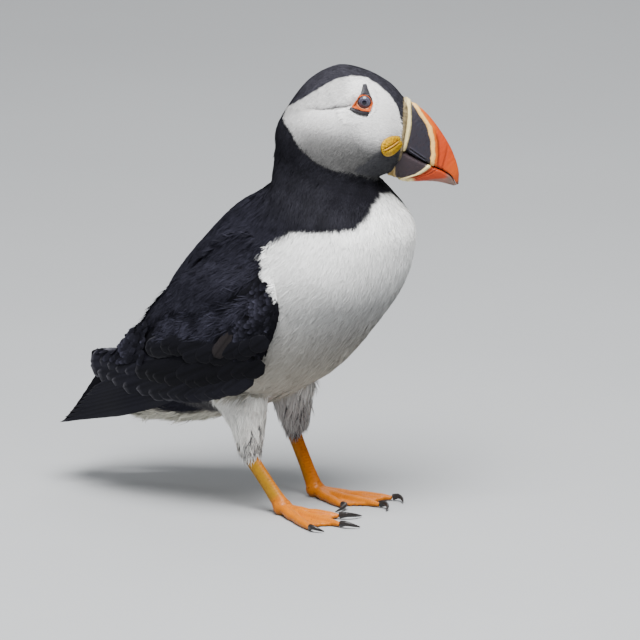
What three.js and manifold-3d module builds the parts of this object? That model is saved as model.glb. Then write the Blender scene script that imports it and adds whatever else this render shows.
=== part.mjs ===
// Atlantic puffin, standing with its head turned to its left: a still, life-size model.
// Millimetres. +X is the way the body faces, +Y is its left, +Z is up, and the soles rest on z = 0.
// The trunk, neck and head are one smooth body parted by thin cuts; wings, tail, legs and bill join it.
import * as THREE from 'three';
import { mergeVertices } from 'three/addons/utils/BufferGeometryUtils.js';
import Module from 'manifold-3d';

const wasm = await Module();
wasm.setup();

// ---------------------------------------------------------------- driving dimensions
const GAP = 0.35; // clearance between pieces that meet
const SLIVER = 0.01; // detail finer than this is merged away
const HEAD_YAW = 30; // degrees the head is turned to the left of the body
const ORIGIN_X = -43; // the middle of the length, where the row's origin stands
const NECK_AXIS_X = -1.6; // the upright line that the head turns about
const RING = 24; // points round the body
const BODY_STEPS = 32; // sections along the body, tail root to bill base

// Stations along the body, from the tail root to the bill base. back and belly are [x, z] points of the
// outline seen from the side, before the head is turned; half is the half width; deep moves the widest
// place towards the belly.
const STATIONS = [
  { back: [-120, 47.6], belly: [-118, 38.5], half: 9, deep: 0 },
  { back: [-113, 57.5], belly: [-104, 35], half: 18, deep: 0.02 },
  { back: [-101, 72], belly: [-83, 35.2], half: 28, deep: 0.05 },
  { back: [-89, 88.5], belly: [-57, 39.2], half: 36, deep: 0.08 },
  { back: [-78.2, 109.5], belly: [-30, 48.4], half: 41, deep: 0.1 },
  { back: [-63.8, 127.3], belly: [-3, 63.6], half: 43.5, deep: 0.1 },
  { back: [-48, 142.9], belly: [17, 85], half: 44, deep: 0.08 },
  { back: [-33.2, 152.6], belly: [32, 107], half: 43, deep: 0.05 },
  { back: [-27, 158.5], belly: [37.6, 130], half: 38.5, deep: 0.02 },
  { back: [-27.5, 165], belly: [30.5, 145.6], half: 32, deep: 0 },
  { back: [-27.5, 173], belly: [23.4, 154.5], half: 27.5, deep: 0 },
  { back: [-26.5, 182], belly: [22.2, 158], half: 26, deep: -0.02 },
  { back: [-20.5, 193], belly: [23.5, 158.8], half: 25.5, deep: -0.03 },
  { back: [-10.5, 205], belly: [25, 159.2], half: 24.8, deep: -0.03 },
  { back: [2.5, 211.2], belly: [26.5, 159.8], half: 23.5, deep: -0.02 },
  { back: [15.5, 209], belly: [27.5, 160.6], half: 20.5, deep: 0.02 },
  { back: [26.8, 202.9], belly: [28.3, 161.6], half: 16.2, deep: 0.08 },
  { back: [33.5, 195.7], belly: [29, 163], half: 11.5, deep: 0.1 },
];
const YAW_FROM = 8; // station where the turn of the head starts
const YAW_TO = 11.5; // station from which the head is fully turned
const CUTS = { rump: 4.8, neck: 8.3, head: 10.7 }; // stations where the body is parted, from the rear
const FULLNESS = 0.92; // below 1 the sections are fuller than an ellipse

// Bill, [x, z] before the turn of the head, from its base to its tip.
const CULMEN = [[34, 195.2], [42.6, 189.1], [49.6, 180.5], [55.2, 171], [58.4, 161.5], [58.5, 154.6]];
const TOMIUM = [[31, 172.2], [38, 168.2], [44.9, 164.6], [50.5, 161.9], [55, 158.8], [57.4, 154.4]];
const GONYS = [[29.4, 158], [33, 155.9], [38, 155.8], [44, 156], [50, 155.4], [56, 153.8]];
const UPPER_HALF = [7.8, 7.1, 6.1, 5, 3.6, 1.2]; // half widths along the upper bill
const LOWER_HALF = [7, 6.4, 5.5, 4.4, 3.1, 1];
const BILL_STEPS = 12;
const BILL_RING = 16;

// Eyes and gape rosettes, [x, y, z] before the turn, right side.
const EYE = { at: [14.7, -15.3, 197], radius: 5 };
const ROSETTE = { at: [27.2, -10.6, 175.2], radii: [5.2, 4, 4.4] };

// Wings: the outline of the folded wing from the side, [x, z], and the hull its rear blade lies on.
const WING_LOWER = [[-4, 113], [-3, 99], [-12, 80], [-27, 65.5], [-50, 57.3], [-90, 46], [-117, 37.6], [-136, 30]];
const WING_TIP = [[-136, 31], [-127, 40.5], [-118, 52], [-113.8, 57.4]];
const WING_UPPER = [[-119, 61.5], [-119.4, 67], [-109, 69.3], [-98, 71.5], [-76, 97], [-34, 134], [-13, 130], [-4, 113]];
const WING_THICK = 3.4; // over the trunk
const BLADE_THICK = 2.6; // behind it
const HULL = [
  { x: -70, z: 68, height: 44, half: 37 },
  { x: -92, z: 56, height: 42, half: 34.5 },
  { x: -107, z: 48, height: 40, half: 28.5 },
  { x: -120, z: 43, height: 38, half: 23.5 },
  { x: -141, z: 37.5, height: 36, half: 17.5 },
];

// Tail: a short fan behind the trunk.
const TAIL = { root: [-120.8, 43], tip: [-137, 33.5], rootHalf: 8.5, tipHalf: 14, thick: 3, edge: 1.6, arch: 3 };

// Legs, by side: the ankle, the toe joint, and the toes' directions in degrees from +X towards +Y.
const LEGS = {
  right: { side: -1, ankle: [-32.5, -20, 26], joint: [-15, -20, 3.6], toes: { inner: 9, middle: -16, outer: -40 } },
  left: { side: 1, ankle: [-32.5, 21, 29.5], joint: [-21, 21, 3.6], toes: { inner: -34, middle: -9, outer: 15 } },
};
const TOES = {
  inner: { reach: 28, claw: 9, hook: 1.5 },
  middle: { reach: 38.5, claw: 8, hook: 0.8 },
  outer: { reach: 37, claw: 6.5, hook: 0.8 },
};
const TOE_ROOT = 3;
const TOE_END = 2;
const CLAW_ROOT = 1.6;
const TARSUS = { depth: 3.5, width: 2.5 };
const FOOT_CUT = 0.24; // where the foot is parted from the tarsus, of the way up from the toe joint
const THIGH = {
  top: [-42, 60],
  topRadii: [20, 13.5],
  knee: [-34.5, 41],
  kneeRadii: [10.3, 8.8],
  shinRadii: [6.2, 5.6],
  ankleRadii: [4.6, 4.2],
};
const WEB = 1.5;

// ---------------------------------------------------------------- helpers
const radians = THREE.MathUtils.degToRad;
const { smoothstep, lerp } = THREE.MathUtils;
const vec = (x, y, z) => new THREE.Vector3(x, y, z);
const rounded = (value, power) => Math.sign(value) * Math.abs(value) ** power;
const spline = (points) => new THREE.CatmullRomCurve3(points, false, 'catmullrom', 0.5);
const upright = (pairs) => spline(pairs.map(([x, z]) => vec(x, 0, z)));
const profile = (values) => spline(values.map((value) => vec(value, 0, 0)));

// A closed surface through rings of equally many points, with a fan over each end.
function loft(rings) {
  const count = rings[0].length;
  const points = rings.flat();
  const index = [];
  for (let i = 0; i + 1 < rings.length; i++) {
    for (let j = 0; j < count; j++) {
      const a = i * count + j;
      const b = i * count + ((j + 1) % count);
      index.push(a, b, a + count, b, b + count, a + count);
    }
  }
  for (const row of [0, rings.length - 1]) {
    const centre = vec(0, 0, 0);
    for (const point of rings[row]) centre.addScaledVector(point, 1 / count);
    points.push(centre);
    for (let j = 0; j < count; j++) {
      const a = row * count + j;
      const b = row * count + ((j + 1) % count);
      index.push(points.length - 1, ...(row === 0 ? [b, a] : [a, b]));
    }
  }
  const geometry = new THREE.BufferGeometry().setFromPoints(points);
  geometry.setIndex(index);
  return geometry;
}

// A closed three.js geometry as a manifold-3d solid facing outwards, for joining and cutting.
function solid(geometry) {
  const bare = new THREE.BufferGeometry();
  bare.setAttribute('position', geometry.getAttribute('position'));
  if (geometry.index) bare.setIndex(geometry.index);
  const merged = mergeVertices(bare, 1e-4);
  const faces = Array.from(merged.index.array);
  const make = () => new wasm.Manifold(new wasm.Mesh({
    numProp: 3,
    vertProperties: new Float32Array(merged.attributes.position.array),
    triVerts: new Uint32Array(faces),
  }));
  const made = make();
  if (made.volume() > 0) return made;
  faces.reverse();
  return make();
}

// A manifold-3d solid back as a three.js geometry, without the slivers that cutting leaves.
function geometryOf(made) {
  const mesh = made.asOriginal().simplify(SLIVER).getMesh();
  const geometry = new THREE.BufferGeometry();
  const positions = new Float32Array(mesh.numVert * 3);
  for (let i = 0; i < mesh.numVert; i++) {
    for (let k = 0; k < 3; k++) positions[i * 3 + k] = mesh.vertProperties[i * mesh.numProp + k];
  }
  geometry.setAttribute('position', new THREE.BufferAttribute(positions, 3));
  geometry.setIndex(new THREE.BufferAttribute(mesh.triVerts, 1));
  geometry.computeVertexNormals();
  return geometry;
}

// The bodies of a solid, largest first.
function bodiesOf(made) {
  return made.decompose().sort((a, b) => b.volume() - a.volume());
}

// A round or oval ring about a point, in the plane of two directions.
function ringAbout(centre, first, second, count = 14) {
  const ring = [];
  for (let j = 0; j < count; j++) {
    const angle = (2 * Math.PI * j) / count;
    const point = centre.clone().addScaledVector(first, Math.cos(angle));
    ring.push(point.addScaledVector(second, Math.sin(angle)));
  }
  return ring;
}

// An ellipsoid; radii along x, y and z.
function ellipsoid([x, y, z], [rx, ry, rz], segments = 12) {
  const ball = new THREE.SphereGeometry(1, segments, segments / 2);
  return ball.scale(rx, ry, rz).translate(x, y, z);
}

// ---------------------------------------------------------------- the body
const backLine = upright(STATIONS.map((s) => s.back));
const bellyLine = upright(STATIONS.map((s) => s.belly));
const girthLine = spline(STATIONS.map((s) => vec(s.half, s.deep, 0)));

// The turn of the head at a station, as a matrix about the neck's upright line.
function turnAt(station) {
  const yaw = radians(HEAD_YAW) * smoothstep(station, YAW_FROM, YAW_TO);
  return new THREE.Matrix4()
    .makeTranslation(NECK_AXIS_X, 0, 0)
    .multiply(new THREE.Matrix4().makeRotationZ(yaw))
    .multiply(new THREE.Matrix4().makeTranslation(-NECK_AXIS_X, 0, 0));
}
const headTurn = turnAt(STATIONS.length);

// The middle of the section at a station, its upward direction and its sizes, before the turn.
function sectionAt(station) {
  const t = station / (STATIONS.length - 1);
  const back = backLine.getPoint(t);
  const belly = bellyLine.getPoint(t);
  const girth = girthLine.getPoint(t);
  const up = back.clone().sub(belly);
  const height = up.length() / 2;
  return { middle: back.add(belly).multiplyScalar(0.5), up: up.normalize(), height, half: girth.x, deep: girth.y };
}

function bodyRing(station, swell) {
  const { middle, up, height, half, deep } = sectionAt(station);
  const turn = turnAt(station);
  const ring = [];
  for (let j = 0; j < RING; j++) {
    const angle = (2 * Math.PI * j) / RING;
    const along = rounded(Math.cos(angle), FULLNESS);
    const side = rounded(Math.sin(angle), FULLNESS) * (1 - deep * along);
    const point = middle.clone().addScaledVector(up, (height + swell) * along);
    point.y = (half + swell) * side;
    ring.push(point.applyMatrix4(turn));
  }
  return ring;
}

function bodySolid(swell = 0) {
  const rings = [];
  const last = STATIONS.length - 1;
  for (let i = 0; i <= BODY_STEPS; i++) rings.push(bodyRing((i / BODY_STEPS) * last, swell));
  return solid(loft(rings));
}

// A thin slab across the body at a station, to part it there.
function slabAt(station) {
  const { middle, up } = sectionAt(station);
  const across = vec(0, 1, 0);
  const forward = across.clone().cross(up);
  const frame = new THREE.Matrix4().makeBasis(forward, across, up).setPosition(middle);
  const slab = new THREE.BoxGeometry(GAP, 130, 110);
  return solid(slab.applyMatrix4(turnAt(station).multiply(frame)));
}

// ---------------------------------------------------------------- bill, eyes and rosettes
// One half of the bill between its upper and lower edge lines, grown by swell.
function billSolid(upperEdge, lowerEdge, halves, widest, swell = 0) {
  const top = upright(upperEdge);
  const bottom = upright(lowerEdge);
  const width = profile(halves);
  const rings = [];
  for (let i = 0; i <= BILL_STEPS; i++) {
    const t = i / BILL_STEPS;
    const high = top.getPoint(t);
    const up = high.clone().sub(bottom.getPoint(t));
    const height = up.length() / 2;
    up.normalize();
    const middle = high.clone().addScaledVector(up, -height);
    const half = width.getPoint(t).x + swell;
    const ring = [];
    for (let j = 0; j < BILL_RING; j++) {
      const angle = (2 * Math.PI * j) / BILL_RING;
      const along = rounded(Math.cos(angle), 0.75);
      const point = middle.clone().addScaledVector(up, (height + swell) * along);
      point.y = half * rounded(Math.sin(angle), 0.8) * (1 - widest * along) / (1 + Math.abs(widest));
      ring.push(point);
    }
    rings.push(ring);
  }
  return solid(loft(rings).applyMatrix4(headTurn));
}

const LOWER_TOP = TOMIUM.map(([x, z]) => [x - 0.12 - 0.35 * smoothstep(x, 50, 57), z - GAP - 0.1]);
const upperBill = (swell) => billSolid(CULMEN, TOMIUM, UPPER_HALF, 0.38, swell);
const lowerBill = (swell) => billSolid(LOWER_TOP, GONYS, LOWER_HALF, -0.3, swell);

// A ball set into the head on one side; side is -1 for the right and 1 for the left.
function facePiece({ at: [x, y, z] }, radii, side, swell = 0) {
  const grown = radii.map((radius) => radius + swell);
  return solid(ellipsoid([x, -y * side, z], grown).applyMatrix4(headTurn));
}

// ---------------------------------------------------------------- wings and tail
function wingOutline() {
  const shape = new THREE.Shape();
  const [x, z] = WING_LOWER[0];
  shape.moveTo(x, z);
  for (const run of [WING_LOWER.slice(1), WING_TIP, WING_UPPER]) {
    const [first, ...rest] = run;
    if (run !== WING_TIP && run !== WING_UPPER) shape.splineThru(run.map(([a, b]) => new THREE.Vector2(a, b)));
    else {
      shape.lineTo(...first);
      shape.splineThru(rest.map(([a, b]) => new THREE.Vector2(a, b)));
    }
  }
  return shape;
}

function hullSolid(thinner) {
  const line = spline(HULL.map((s) => vec(s.x, s.half, s.z)));
  const heights = profile(HULL.map((s) => s.height));
  const rings = [];
  for (let i = 0; i <= 8; i++) {
    const at = line.getPoint(i / 8);
    const height = heights.getPoint(i / 8).x - thinner;
    rings.push(ringAbout(vec(at.x, 0, at.z), vec(0, at.y - thinner, 0), vec(0, 0, height), 24));
  }
  return solid(loft(rings));
}

function wingSolid(side, trunkClear, trunkGrown) {
  const prism = new THREE.ExtrudeGeometry(wingOutline(), { depth: 70, bevelEnabled: false, curveSegments: 4 });
  prism.rotateX(Math.PI / 2).translate(0, side === 1 ? 72 : -2, 0);
  const shell = trunkGrown.add(hullSolid(0));
  const cut = shell.intersect(solid(prism)).subtract(trunkClear).subtract(hullSolid(BLADE_THICK));
  return bodiesOf(cut)[0];
}

function tailSolid() {
  const { root, tip, rootHalf, tipHalf, thick, edge, arch } = TAIL;
  const rings = [];
  const steps = 12;
  for (let i = 0; i <= steps; i++) {
    const across = lerp(-1, 1, i / steps);
    const rounding = 1 - 0.22 * across * across;
    const start = vec(root[0], across * rootHalf, root[1] - arch * 0.4 * across * across);
    const end = vec(lerp(root[0], tip[0], rounding), across * tipHalf, lerp(root[1], tip[1], rounding));
    end.z -= arch * across * across;
    const rise = vec(0, 0, thick / 2);
    const fall = vec(0, 0, edge / 2);
    rings.push([
      start.clone().add(rise),
      end.clone().add(fall),
      end.clone().sub(fall),
      start.clone().sub(rise),
    ]);
  }
  return solid(loft(rings));
}

// ---------------------------------------------------------------- legs
// A tube along a curve, oval, with radii given by functions of the way along it.
function tube(curve, steps, deep, wide, count = 14) {
  const rings = [];
  for (let i = 0; i <= steps; i++) {
    const t = i / steps;
    const tangent = curve.getTangent(t);
    const wideways = vec(-tangent.y, tangent.x, 0);
    if (wideways.length() < 0.2) wideways.set(0, 1, 0);
    wideways.normalize();
    const deepways = tangent.clone().cross(wideways).normalize();
    rings.push(ringAbout(curve.getPoint(t), wideways.multiplyScalar(wide(t)), deepways.multiplyScalar(deep(t)), count));
  }
  return solid(loft(rings));
}

// Points and headings along a toe, by how far out from the toe joint.
function toePoint(leg, heading, distance, z) {
  const angle = radians(heading);
  return vec(leg.joint[0] + distance * Math.cos(angle), leg.joint[1] + distance * Math.sin(angle), z);
}

function toeSolid(leg, name) {
  const heading = leg.toes[name];
  const { reach } = TOES[name];
  const curve = spline([
    vec(...leg.joint),
    toePoint(leg, heading, reach * 0.3, 2.2),
    toePoint(leg, heading, reach * 0.65, 1.9),
    toePoint(leg, heading, reach, 1.5),
  ]);
  const knuckle = (t) => 1 + 0.1 * Math.cos(2 * Math.PI * 3 * t);
  const radius = (t) => lerp(TOE_ROOT, TOE_END, t) * knuckle(t) * (1 - 0.45 * smoothstep(t, 0.93, 1));
  return tube(curve, 8, (t) => radius(t) * 0.9, radius, 8);
}

function clawSolid(leg, name) {
  const heading = leg.toes[name];
  const { reach, claw, hook } = TOES[name];
  const start = reach + GAP;
  const bend = 10 * hook * -leg.side;
  const curve = spline([
    toePoint(leg, heading, start, 1.85),
    toePoint(leg, heading, start + claw * 0.4, 2.5),
    toePoint(leg, heading + bend * 0.35, start + claw * 0.78, 1.8),
    toePoint(leg, heading + bend * 0.8, start + claw, 0.7),
  ]);
  const radius = (t) => CLAW_ROOT * (1 - 0.8 * t ** 1.4);
  return tube(curve, 6, radius, (t) => radius(t) * 0.8, 8);
}

// The webs between the toes, a thin sheet with hollow front edges.
function webSolid(leg) {
  const tip = (name, share = 0.93) => {
    const point = toePoint(leg, leg.toes[name], TOES[name].reach * share, 0);
    return new THREE.Vector2(point.x, point.y);
  };
  const start = toePoint(leg, leg.toes.middle, 2, 0);
  const inner = tip('inner');
  const middle = tip('middle');
  const outer = tip('outer');
  const root = new THREE.Vector2(start.x, start.y);
  const hollow = (a, b) => a.clone().add(b).multiplyScalar(0.5).lerp(root, 0.16);
  const shape = new THREE.Shape();
  shape.moveTo(start.x, start.y);
  shape.lineTo(inner.x, inner.y);
  const first = hollow(inner, middle);
  shape.quadraticCurveTo(first.x, first.y, middle.x, middle.y);
  const second = hollow(middle, outer);
  shape.quadraticCurveTo(second.x, second.y, outer.x, outer.y);
  shape.lineTo(start.x, start.y);
  const sheet = new THREE.ExtrudeGeometry(shape, { depth: WEB, bevelEnabled: false, curveSegments: 5 });
  return solid(sheet.translate(0, 0, 0.3));
}

// The shank from inside the thigh down to the toe joint, grown by swell.
function shankSolid(leg, swell = 0) {
  const ankle = vec(...leg.ankle);
  const joint = vec(...leg.joint);
  const upper = ankle.clone().add(ankle.clone().sub(joint).setLength(9 + swell));
  upper.x += 1.5;
  const heel = (t) => 1 - smoothstep(t, 0.2, 0.45);
  return tube(
    spline([upper, ankle, ankle.clone().lerp(joint, 0.5), joint]),
    8,
    (t) => TARSUS.depth * (1 + 0.25 * smoothstep(t, 0.8, 1) + 0.12 * heel(t)) + swell,
    (t) => TARSUS.width * (1 + 0.35 * smoothstep(t, 0.8, 1) + 0.2 * heel(t)) + swell,
  );
}

// The shank and foot in one, cut level at the floor.
function footAndShank(leg) {
  const knuckle = solid(ellipsoid(leg.joint, [4.8, 4.4, 4.4]));
  let made = shankSolid(leg).add(knuckle).add(webSolid(leg));
  for (const name of Object.keys(TOES)) made = made.add(toeSolid(leg, name));
  const below = new THREE.BoxGeometry(200, 200, 20).translate(0, 0, -10);
  return made.subtract(solid(below));
}

function legCut(leg) {
  const axis = vec(...leg.ankle).sub(vec(...leg.joint));
  const at = vec(...leg.joint).addScaledVector(axis, FOOT_CUT);
  const turn = new THREE.Quaternion().setFromUnitVectors(vec(0, 0, 1), axis.normalize());
  const slab = new THREE.BoxGeometry(16, 16, GAP).applyQuaternion(turn);
  return solid(slab.translate(at.x, at.y, at.z));
}

function thighSolid(leg) {
  const [ax, ay, az] = leg.ankle;
  const spots = [
    { at: vec(THIGH.top[0], ay * 1.05, THIGH.top[1]), radii: THIGH.topRadii },
    { at: vec(THIGH.knee[0], ay * 1.03, THIGH.knee[1]), radii: THIGH.kneeRadii },
    { at: vec(ax - 0.6, ay, az + 4.5), radii: THIGH.shinRadii },
    { at: vec(ax + 0.3, ay, az), radii: THIGH.ankleRadii },
  ];
  const line = spline(spots.map((s) => s.at));
  const sizes = spline(spots.map((s) => vec(s.radii[0], s.radii[1], 0)));
  const rings = [];
  for (let i = 0; i <= 8; i++) {
    const size = sizes.getPoint(i / 8);
    rings.push(ringAbout(line.getPoint(i / 8), vec(size.x, 0, -0.25 * size.x), vec(0, size.y, 0), 16));
  }
  return solid(loft(rings));
}

// ---------------------------------------------------------------- assembly
const puffin = new THREE.Group();
puffin.name = 'puffin';

const MATERIALS = {
  plumage_breast: new THREE.MeshStandardMaterial({ color: 0xe4e3df, roughness: 0.85 }),
  plumage_rump: new THREE.MeshStandardMaterial({ color: 0x2b2b2d, roughness: 0.85 }),
  plumage_neck: new THREE.MeshStandardMaterial({ color: 0x1d1e22, roughness: 0.8 }),
  plumage_head: new THREE.MeshStandardMaterial({ color: 0xc6c8cc, roughness: 0.85 }),
  plumage_thigh: new THREE.MeshStandardMaterial({ color: 0xc9c7c4, roughness: 0.85 }),
  flight_feather: new THREE.MeshStandardMaterial({ color: 0x2a2827, roughness: 0.7 }),
  bill_upper: new THREE.MeshStandardMaterial({ color: 0xc8481f, roughness: 0.45 }),
  bill_lower: new THREE.MeshStandardMaterial({ color: 0xc2552c, roughness: 0.45 }),
  gape_rosette: new THREE.MeshStandardMaterial({ color: 0xe8992a, roughness: 0.6 }),
  eye: new THREE.MeshStandardMaterial({ color: 0x20242c, roughness: 0.15 }),
  leg_skin: new THREE.MeshStandardMaterial({ color: 0xdd6a1c, roughness: 0.5 }),
  claw_horn: new THREE.MeshStandardMaterial({ color: 0x1b1917, roughness: 0.4 }),
};

function place(name, made, material) {
  const mesh = new THREE.Mesh(geometryOf(made), MATERIALS[material]);
  mesh.name = name;
  puffin.add(mesh);
}

const whole = bodySolid();
const clearBody = bodySolid(GAP);
let parted = whole;
for (const station of Object.values(CUTS)) parted = parted.subtract(slabAt(station));
const [breast, rump, headBlock, neck] = bodiesOf(parted);
let head = headBlock;
for (const side of [-1, 1]) {
  head = head.subtract(facePiece(EYE, [EYE.radius, EYE.radius, EYE.radius], side, GAP));
  head = head.subtract(facePiece(ROSETTE, ROSETTE.radii, side, GAP));
}
place('breast', breast, 'plumage_breast');
place('rump', rump, 'plumage_rump');
place('neck', neck, 'plumage_neck');
place('head', head, 'plumage_head');
place('upper_bill', upperBill(0), 'bill_upper');
place('lower_bill', lowerBill(0), 'bill_lower');
const billClear = upperBill(GAP).add(lowerBill(GAP));

const grownBody = bodySolid(WING_THICK);
for (const [name, leg] of Object.entries(LEGS)) {
  const { side } = leg;
  place(`eye_${name}`, facePiece(EYE, [EYE.radius, EYE.radius, EYE.radius], side), 'eye');
  place(`rosette_${name}`, bodiesOf(facePiece(ROSETTE, ROSETTE.radii, side).subtract(billClear))[0], 'gape_rosette');
  place(`wing_${name}`, wingSolid(side, clearBody, grownBody), 'flight_feather');
  const [foot, tarsus] = bodiesOf(footAndShank(leg).subtract(legCut(leg)));
  place(`foot_${name}`, foot, 'leg_skin');
  const thigh = thighSolid(leg).subtract(clearBody).subtract(shankSolid(leg, GAP));
  place(`thigh_${name}`, bodiesOf(thigh)[0], 'plumage_thigh');
  place(`tarsus_${name}`, tarsus, 'leg_skin');
  for (const toe of Object.keys(TOES)) place(`claw_${name}_${toe}`, clawSolid(leg, toe), 'claw_horn');
}
place('tail', tailSolid(), 'flight_feather');

puffin.position.set(-ORIGIN_X, 0, 0);

export default puffin;
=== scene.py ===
# Atlantic puffin at life size: skin, plumage, bill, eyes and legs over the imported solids.
import math
import bpy
import numpy as np
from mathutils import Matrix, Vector
from mathutils.bvhtree import BVHTree
from mathutils.kdtree import KDTree


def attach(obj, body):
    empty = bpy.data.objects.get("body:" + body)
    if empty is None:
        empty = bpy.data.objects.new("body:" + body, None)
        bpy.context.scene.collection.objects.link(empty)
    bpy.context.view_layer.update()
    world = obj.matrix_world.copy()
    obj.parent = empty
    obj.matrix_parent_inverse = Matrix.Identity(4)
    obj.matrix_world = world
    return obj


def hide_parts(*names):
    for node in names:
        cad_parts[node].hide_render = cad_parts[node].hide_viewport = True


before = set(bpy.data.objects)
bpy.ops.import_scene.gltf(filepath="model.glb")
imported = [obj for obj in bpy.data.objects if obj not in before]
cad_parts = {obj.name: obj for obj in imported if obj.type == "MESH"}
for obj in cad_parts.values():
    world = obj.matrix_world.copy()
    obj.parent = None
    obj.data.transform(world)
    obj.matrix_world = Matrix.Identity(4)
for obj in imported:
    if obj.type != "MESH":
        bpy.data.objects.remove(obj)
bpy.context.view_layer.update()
MM = 0.001
ORIGIN = np.array([43.0, 0.0, 0.0])  # the shapes below are in millimetres about the neck; the row starts here
HEAD_YAW = math.radians(30)  # turn of the head to the bird's left
NECK_AXIS_X = -1.6  # the upright line that the head turns about
YAW_FROM, YAW_TO = 8, 11.5  # stations between which the turn grows
SIDES = {"right": -1, "left": 1}


# ------------------------------------------------------------------ small maths
def unit(v):
    return v / np.maximum(np.linalg.norm(v, axis=-1, keepdims=True), 1e-9)


def smooth(x, a, b):
    """0 below a, 1 above b, and an even S between."""
    t = np.clip((np.asarray(x, float) - a) / (b - a), 0, 1)
    return t * t * (3 - 2 * t)


def fall(x, a, b):
    """1 below a, 0 above b, and an even S between."""
    return smooth(-x, -b, -a)


def band(value, centre, width):
    """1 at the centre of a band, falling to 0 outside it."""
    return np.exp(-(((value - centre) / width) ** 2))


def mix(a, b, w):
    w = np.asarray(w)[:, None]
    return a * (1 - w) + b * w


def plain(colour, count):
    """One colour for each of count points."""
    return np.tile(np.asarray(colour, float), (count, 1))


def catmull(points, t):
    """A smooth curve through points, at shares t of its way."""
    points = np.asarray(points, float)
    n = len(points) - 1
    q = np.clip(t, 0, 1) * n
    i = np.minimum(q.astype(int), n - 1)
    w = (q - i)[:, None]
    p = np.vstack([2 * points[0] - points[1], points, 2 * points[-1] - points[-2]])
    p0, p1, p2, p3 = p[i], p[i + 1], p[i + 2], p[i + 3]
    v0, v1 = (p2 - p0) / 2, (p3 - p1) / 2
    return (2 * p1 - 2 * p2 + v0 + v1) * w**3 + (-3 * p1 + 3 * p2 - 2 * v0 - v1) * w**2 + v0 * w + p1


def rounded(v, power):
    return np.sign(v) * np.abs(v) ** power


def turn_head(p, amount=1.0):
    """Points before the head's turn, carried round the neck's upright line."""
    a = HEAD_YAW * amount
    x, y = p[..., 0] - NECK_AXIS_X, p[..., 1]
    ahead = NECK_AXIS_X + x * np.cos(a) - y * np.sin(a)
    return np.stack([ahead, x * np.sin(a) + y * np.cos(a), p[..., 2]], -1)


def unturn_head(p):
    return turn_head(p, -1.0)


def noise(p, scale, seed):
    """Smooth value noise of points, about -1 to 1, from a few turned sine waves."""
    r = np.random.default_rng(seed)
    out = np.zeros(len(p))
    for k in range(5):
        d = unit(r.normal(size=3))
        e = unit(r.normal(size=3))
        f = 2 * math.pi / scale * (0.7 + 0.35 * k)
        out += np.sin(p @ d * f + 1.7 * np.sin(p @ e * f * 0.6 + k)) / (1 + 0.3 * k)
    return out / 2.6


def mottled(colour, p, amount, scale, seed):
    """A colour at each of the points, lighter and darker by the noise."""
    return colour * (1 + amount * noise(p, scale, seed))[:, None]


# ------------------------------------------------------------------ the body's form, as in the solids
# Back x, z, belly x, z, half width and how deep the widest place lies, from the tail root to the bill.
STATIONS = np.array([
    (-120, 47.6, -118, 38.5, 9, 0),
    (-113, 57.5, -104, 35, 18, 0.02),
    (-101, 72, -83, 35.2, 28, 0.05),
    (-89, 88.5, -57, 39.2, 36, 0.08),
    (-78.2, 109.5, -30, 48.4, 41, 0.1),
    (-63.8, 127.3, -3, 63.6, 43.5, 0.1),
    (-48, 142.9, 17, 85, 44, 0.08),
    (-33.2, 152.6, 32, 107, 43, 0.05),
    (-27, 158.5, 37.6, 130, 38.5, 0.02),
    (-27.5, 165, 30.5, 145.6, 32, 0),
    (-27.5, 173, 23.4, 154.5, 27.5, 0),
    (-26.5, 182, 22.2, 158, 26, -0.02),
    (-20.5, 193, 23.5, 158.8, 25.5, -0.03),
    (-10.5, 205, 25, 159.2, 24.8, -0.03),
    (2.5, 211.2, 26.5, 159.8, 23.5, -0.02),
    (15.5, 209, 27.5, 160.6, 20.5, 0.02),
    (26.8, 202.9, 28.3, 161.6, 16.2, 0.08),
    (33.5, 195.7, 29, 163, 11.5, 0.1),
], float)
LAST = len(STATIONS) - 1
FULLNESS = 0.92  # below 1 the sections are fuller than an ellipse


def body_points(s, angle, swell=0.0, flat=False):
    """Points of the body at stations s (0 the tail root, LAST the bill) and angles from the back."""
    s, angle = np.broadcast_arrays(np.asarray(s, float), np.asarray(angle, float))
    line = catmull(STATIONS, s.ravel() / LAST)
    back, belly, half, deep = line[:, 0:2], line[:, 2:4], line[:, 4], line[:, 5]
    up = back - belly
    height = np.linalg.norm(up, axis=1) / 2
    up = up / (2 * height[:, None])
    a = angle.ravel()
    along = rounded(np.cos(a), FULLNESS)
    side = rounded(np.sin(a), FULLNESS) * (1 - deep * along)
    swell = np.broadcast_to(swell, s.shape).ravel()
    mid = (back + belly) / 2 + up * ((height + swell) * along)[:, None]
    p = np.stack([mid[:, 0], (half + swell) * side, mid[:, 1]], 1)
    if not flat:
        p = turn_head(p, smooth(s.ravel(), YAW_FROM, YAW_TO))
    return p.reshape(*s.shape, 3)


# ------------------------------------------------------------------ meshes
def new_mesh(name, verts_mm, faces, tint=None, uv=None, material=None):
    """A mesh object from millimetre points; tint is a colour per point and uv a place per point."""
    verts = (np.asarray(verts_mm, float) + ORIGIN) * MM
    mesh = bpy.data.meshes.new(name)
    faces = np.asarray(faces, np.int32)
    mesh.vertices.add(len(verts))
    mesh.vertices.foreach_set("co", verts.ravel())
    mesh.loops.add(faces.size)
    mesh.loops.foreach_set("vertex_index", faces.ravel())
    mesh.polygons.add(len(faces))
    mesh.polygons.foreach_set("loop_start", np.arange(len(faces), dtype=np.int32) * faces.shape[1])
    mesh.update(calc_edges=True)
    mesh.polygons.foreach_set("use_smooth", np.ones(len(faces), bool))
    if tint is not None:
        set_tint(mesh, tint)
    if uv is not None:
        layer = mesh.uv_layers.new(name="OFBake")
        layer.data.foreach_set("uv", np.asarray(uv, float)[faces.ravel()].ravel())
    mesh.validate()
    obj = bpy.data.objects.new(name, mesh)
    bpy.context.scene.collection.objects.link(obj)
    if material:
        mesh.materials.append(material)
    return obj


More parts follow.
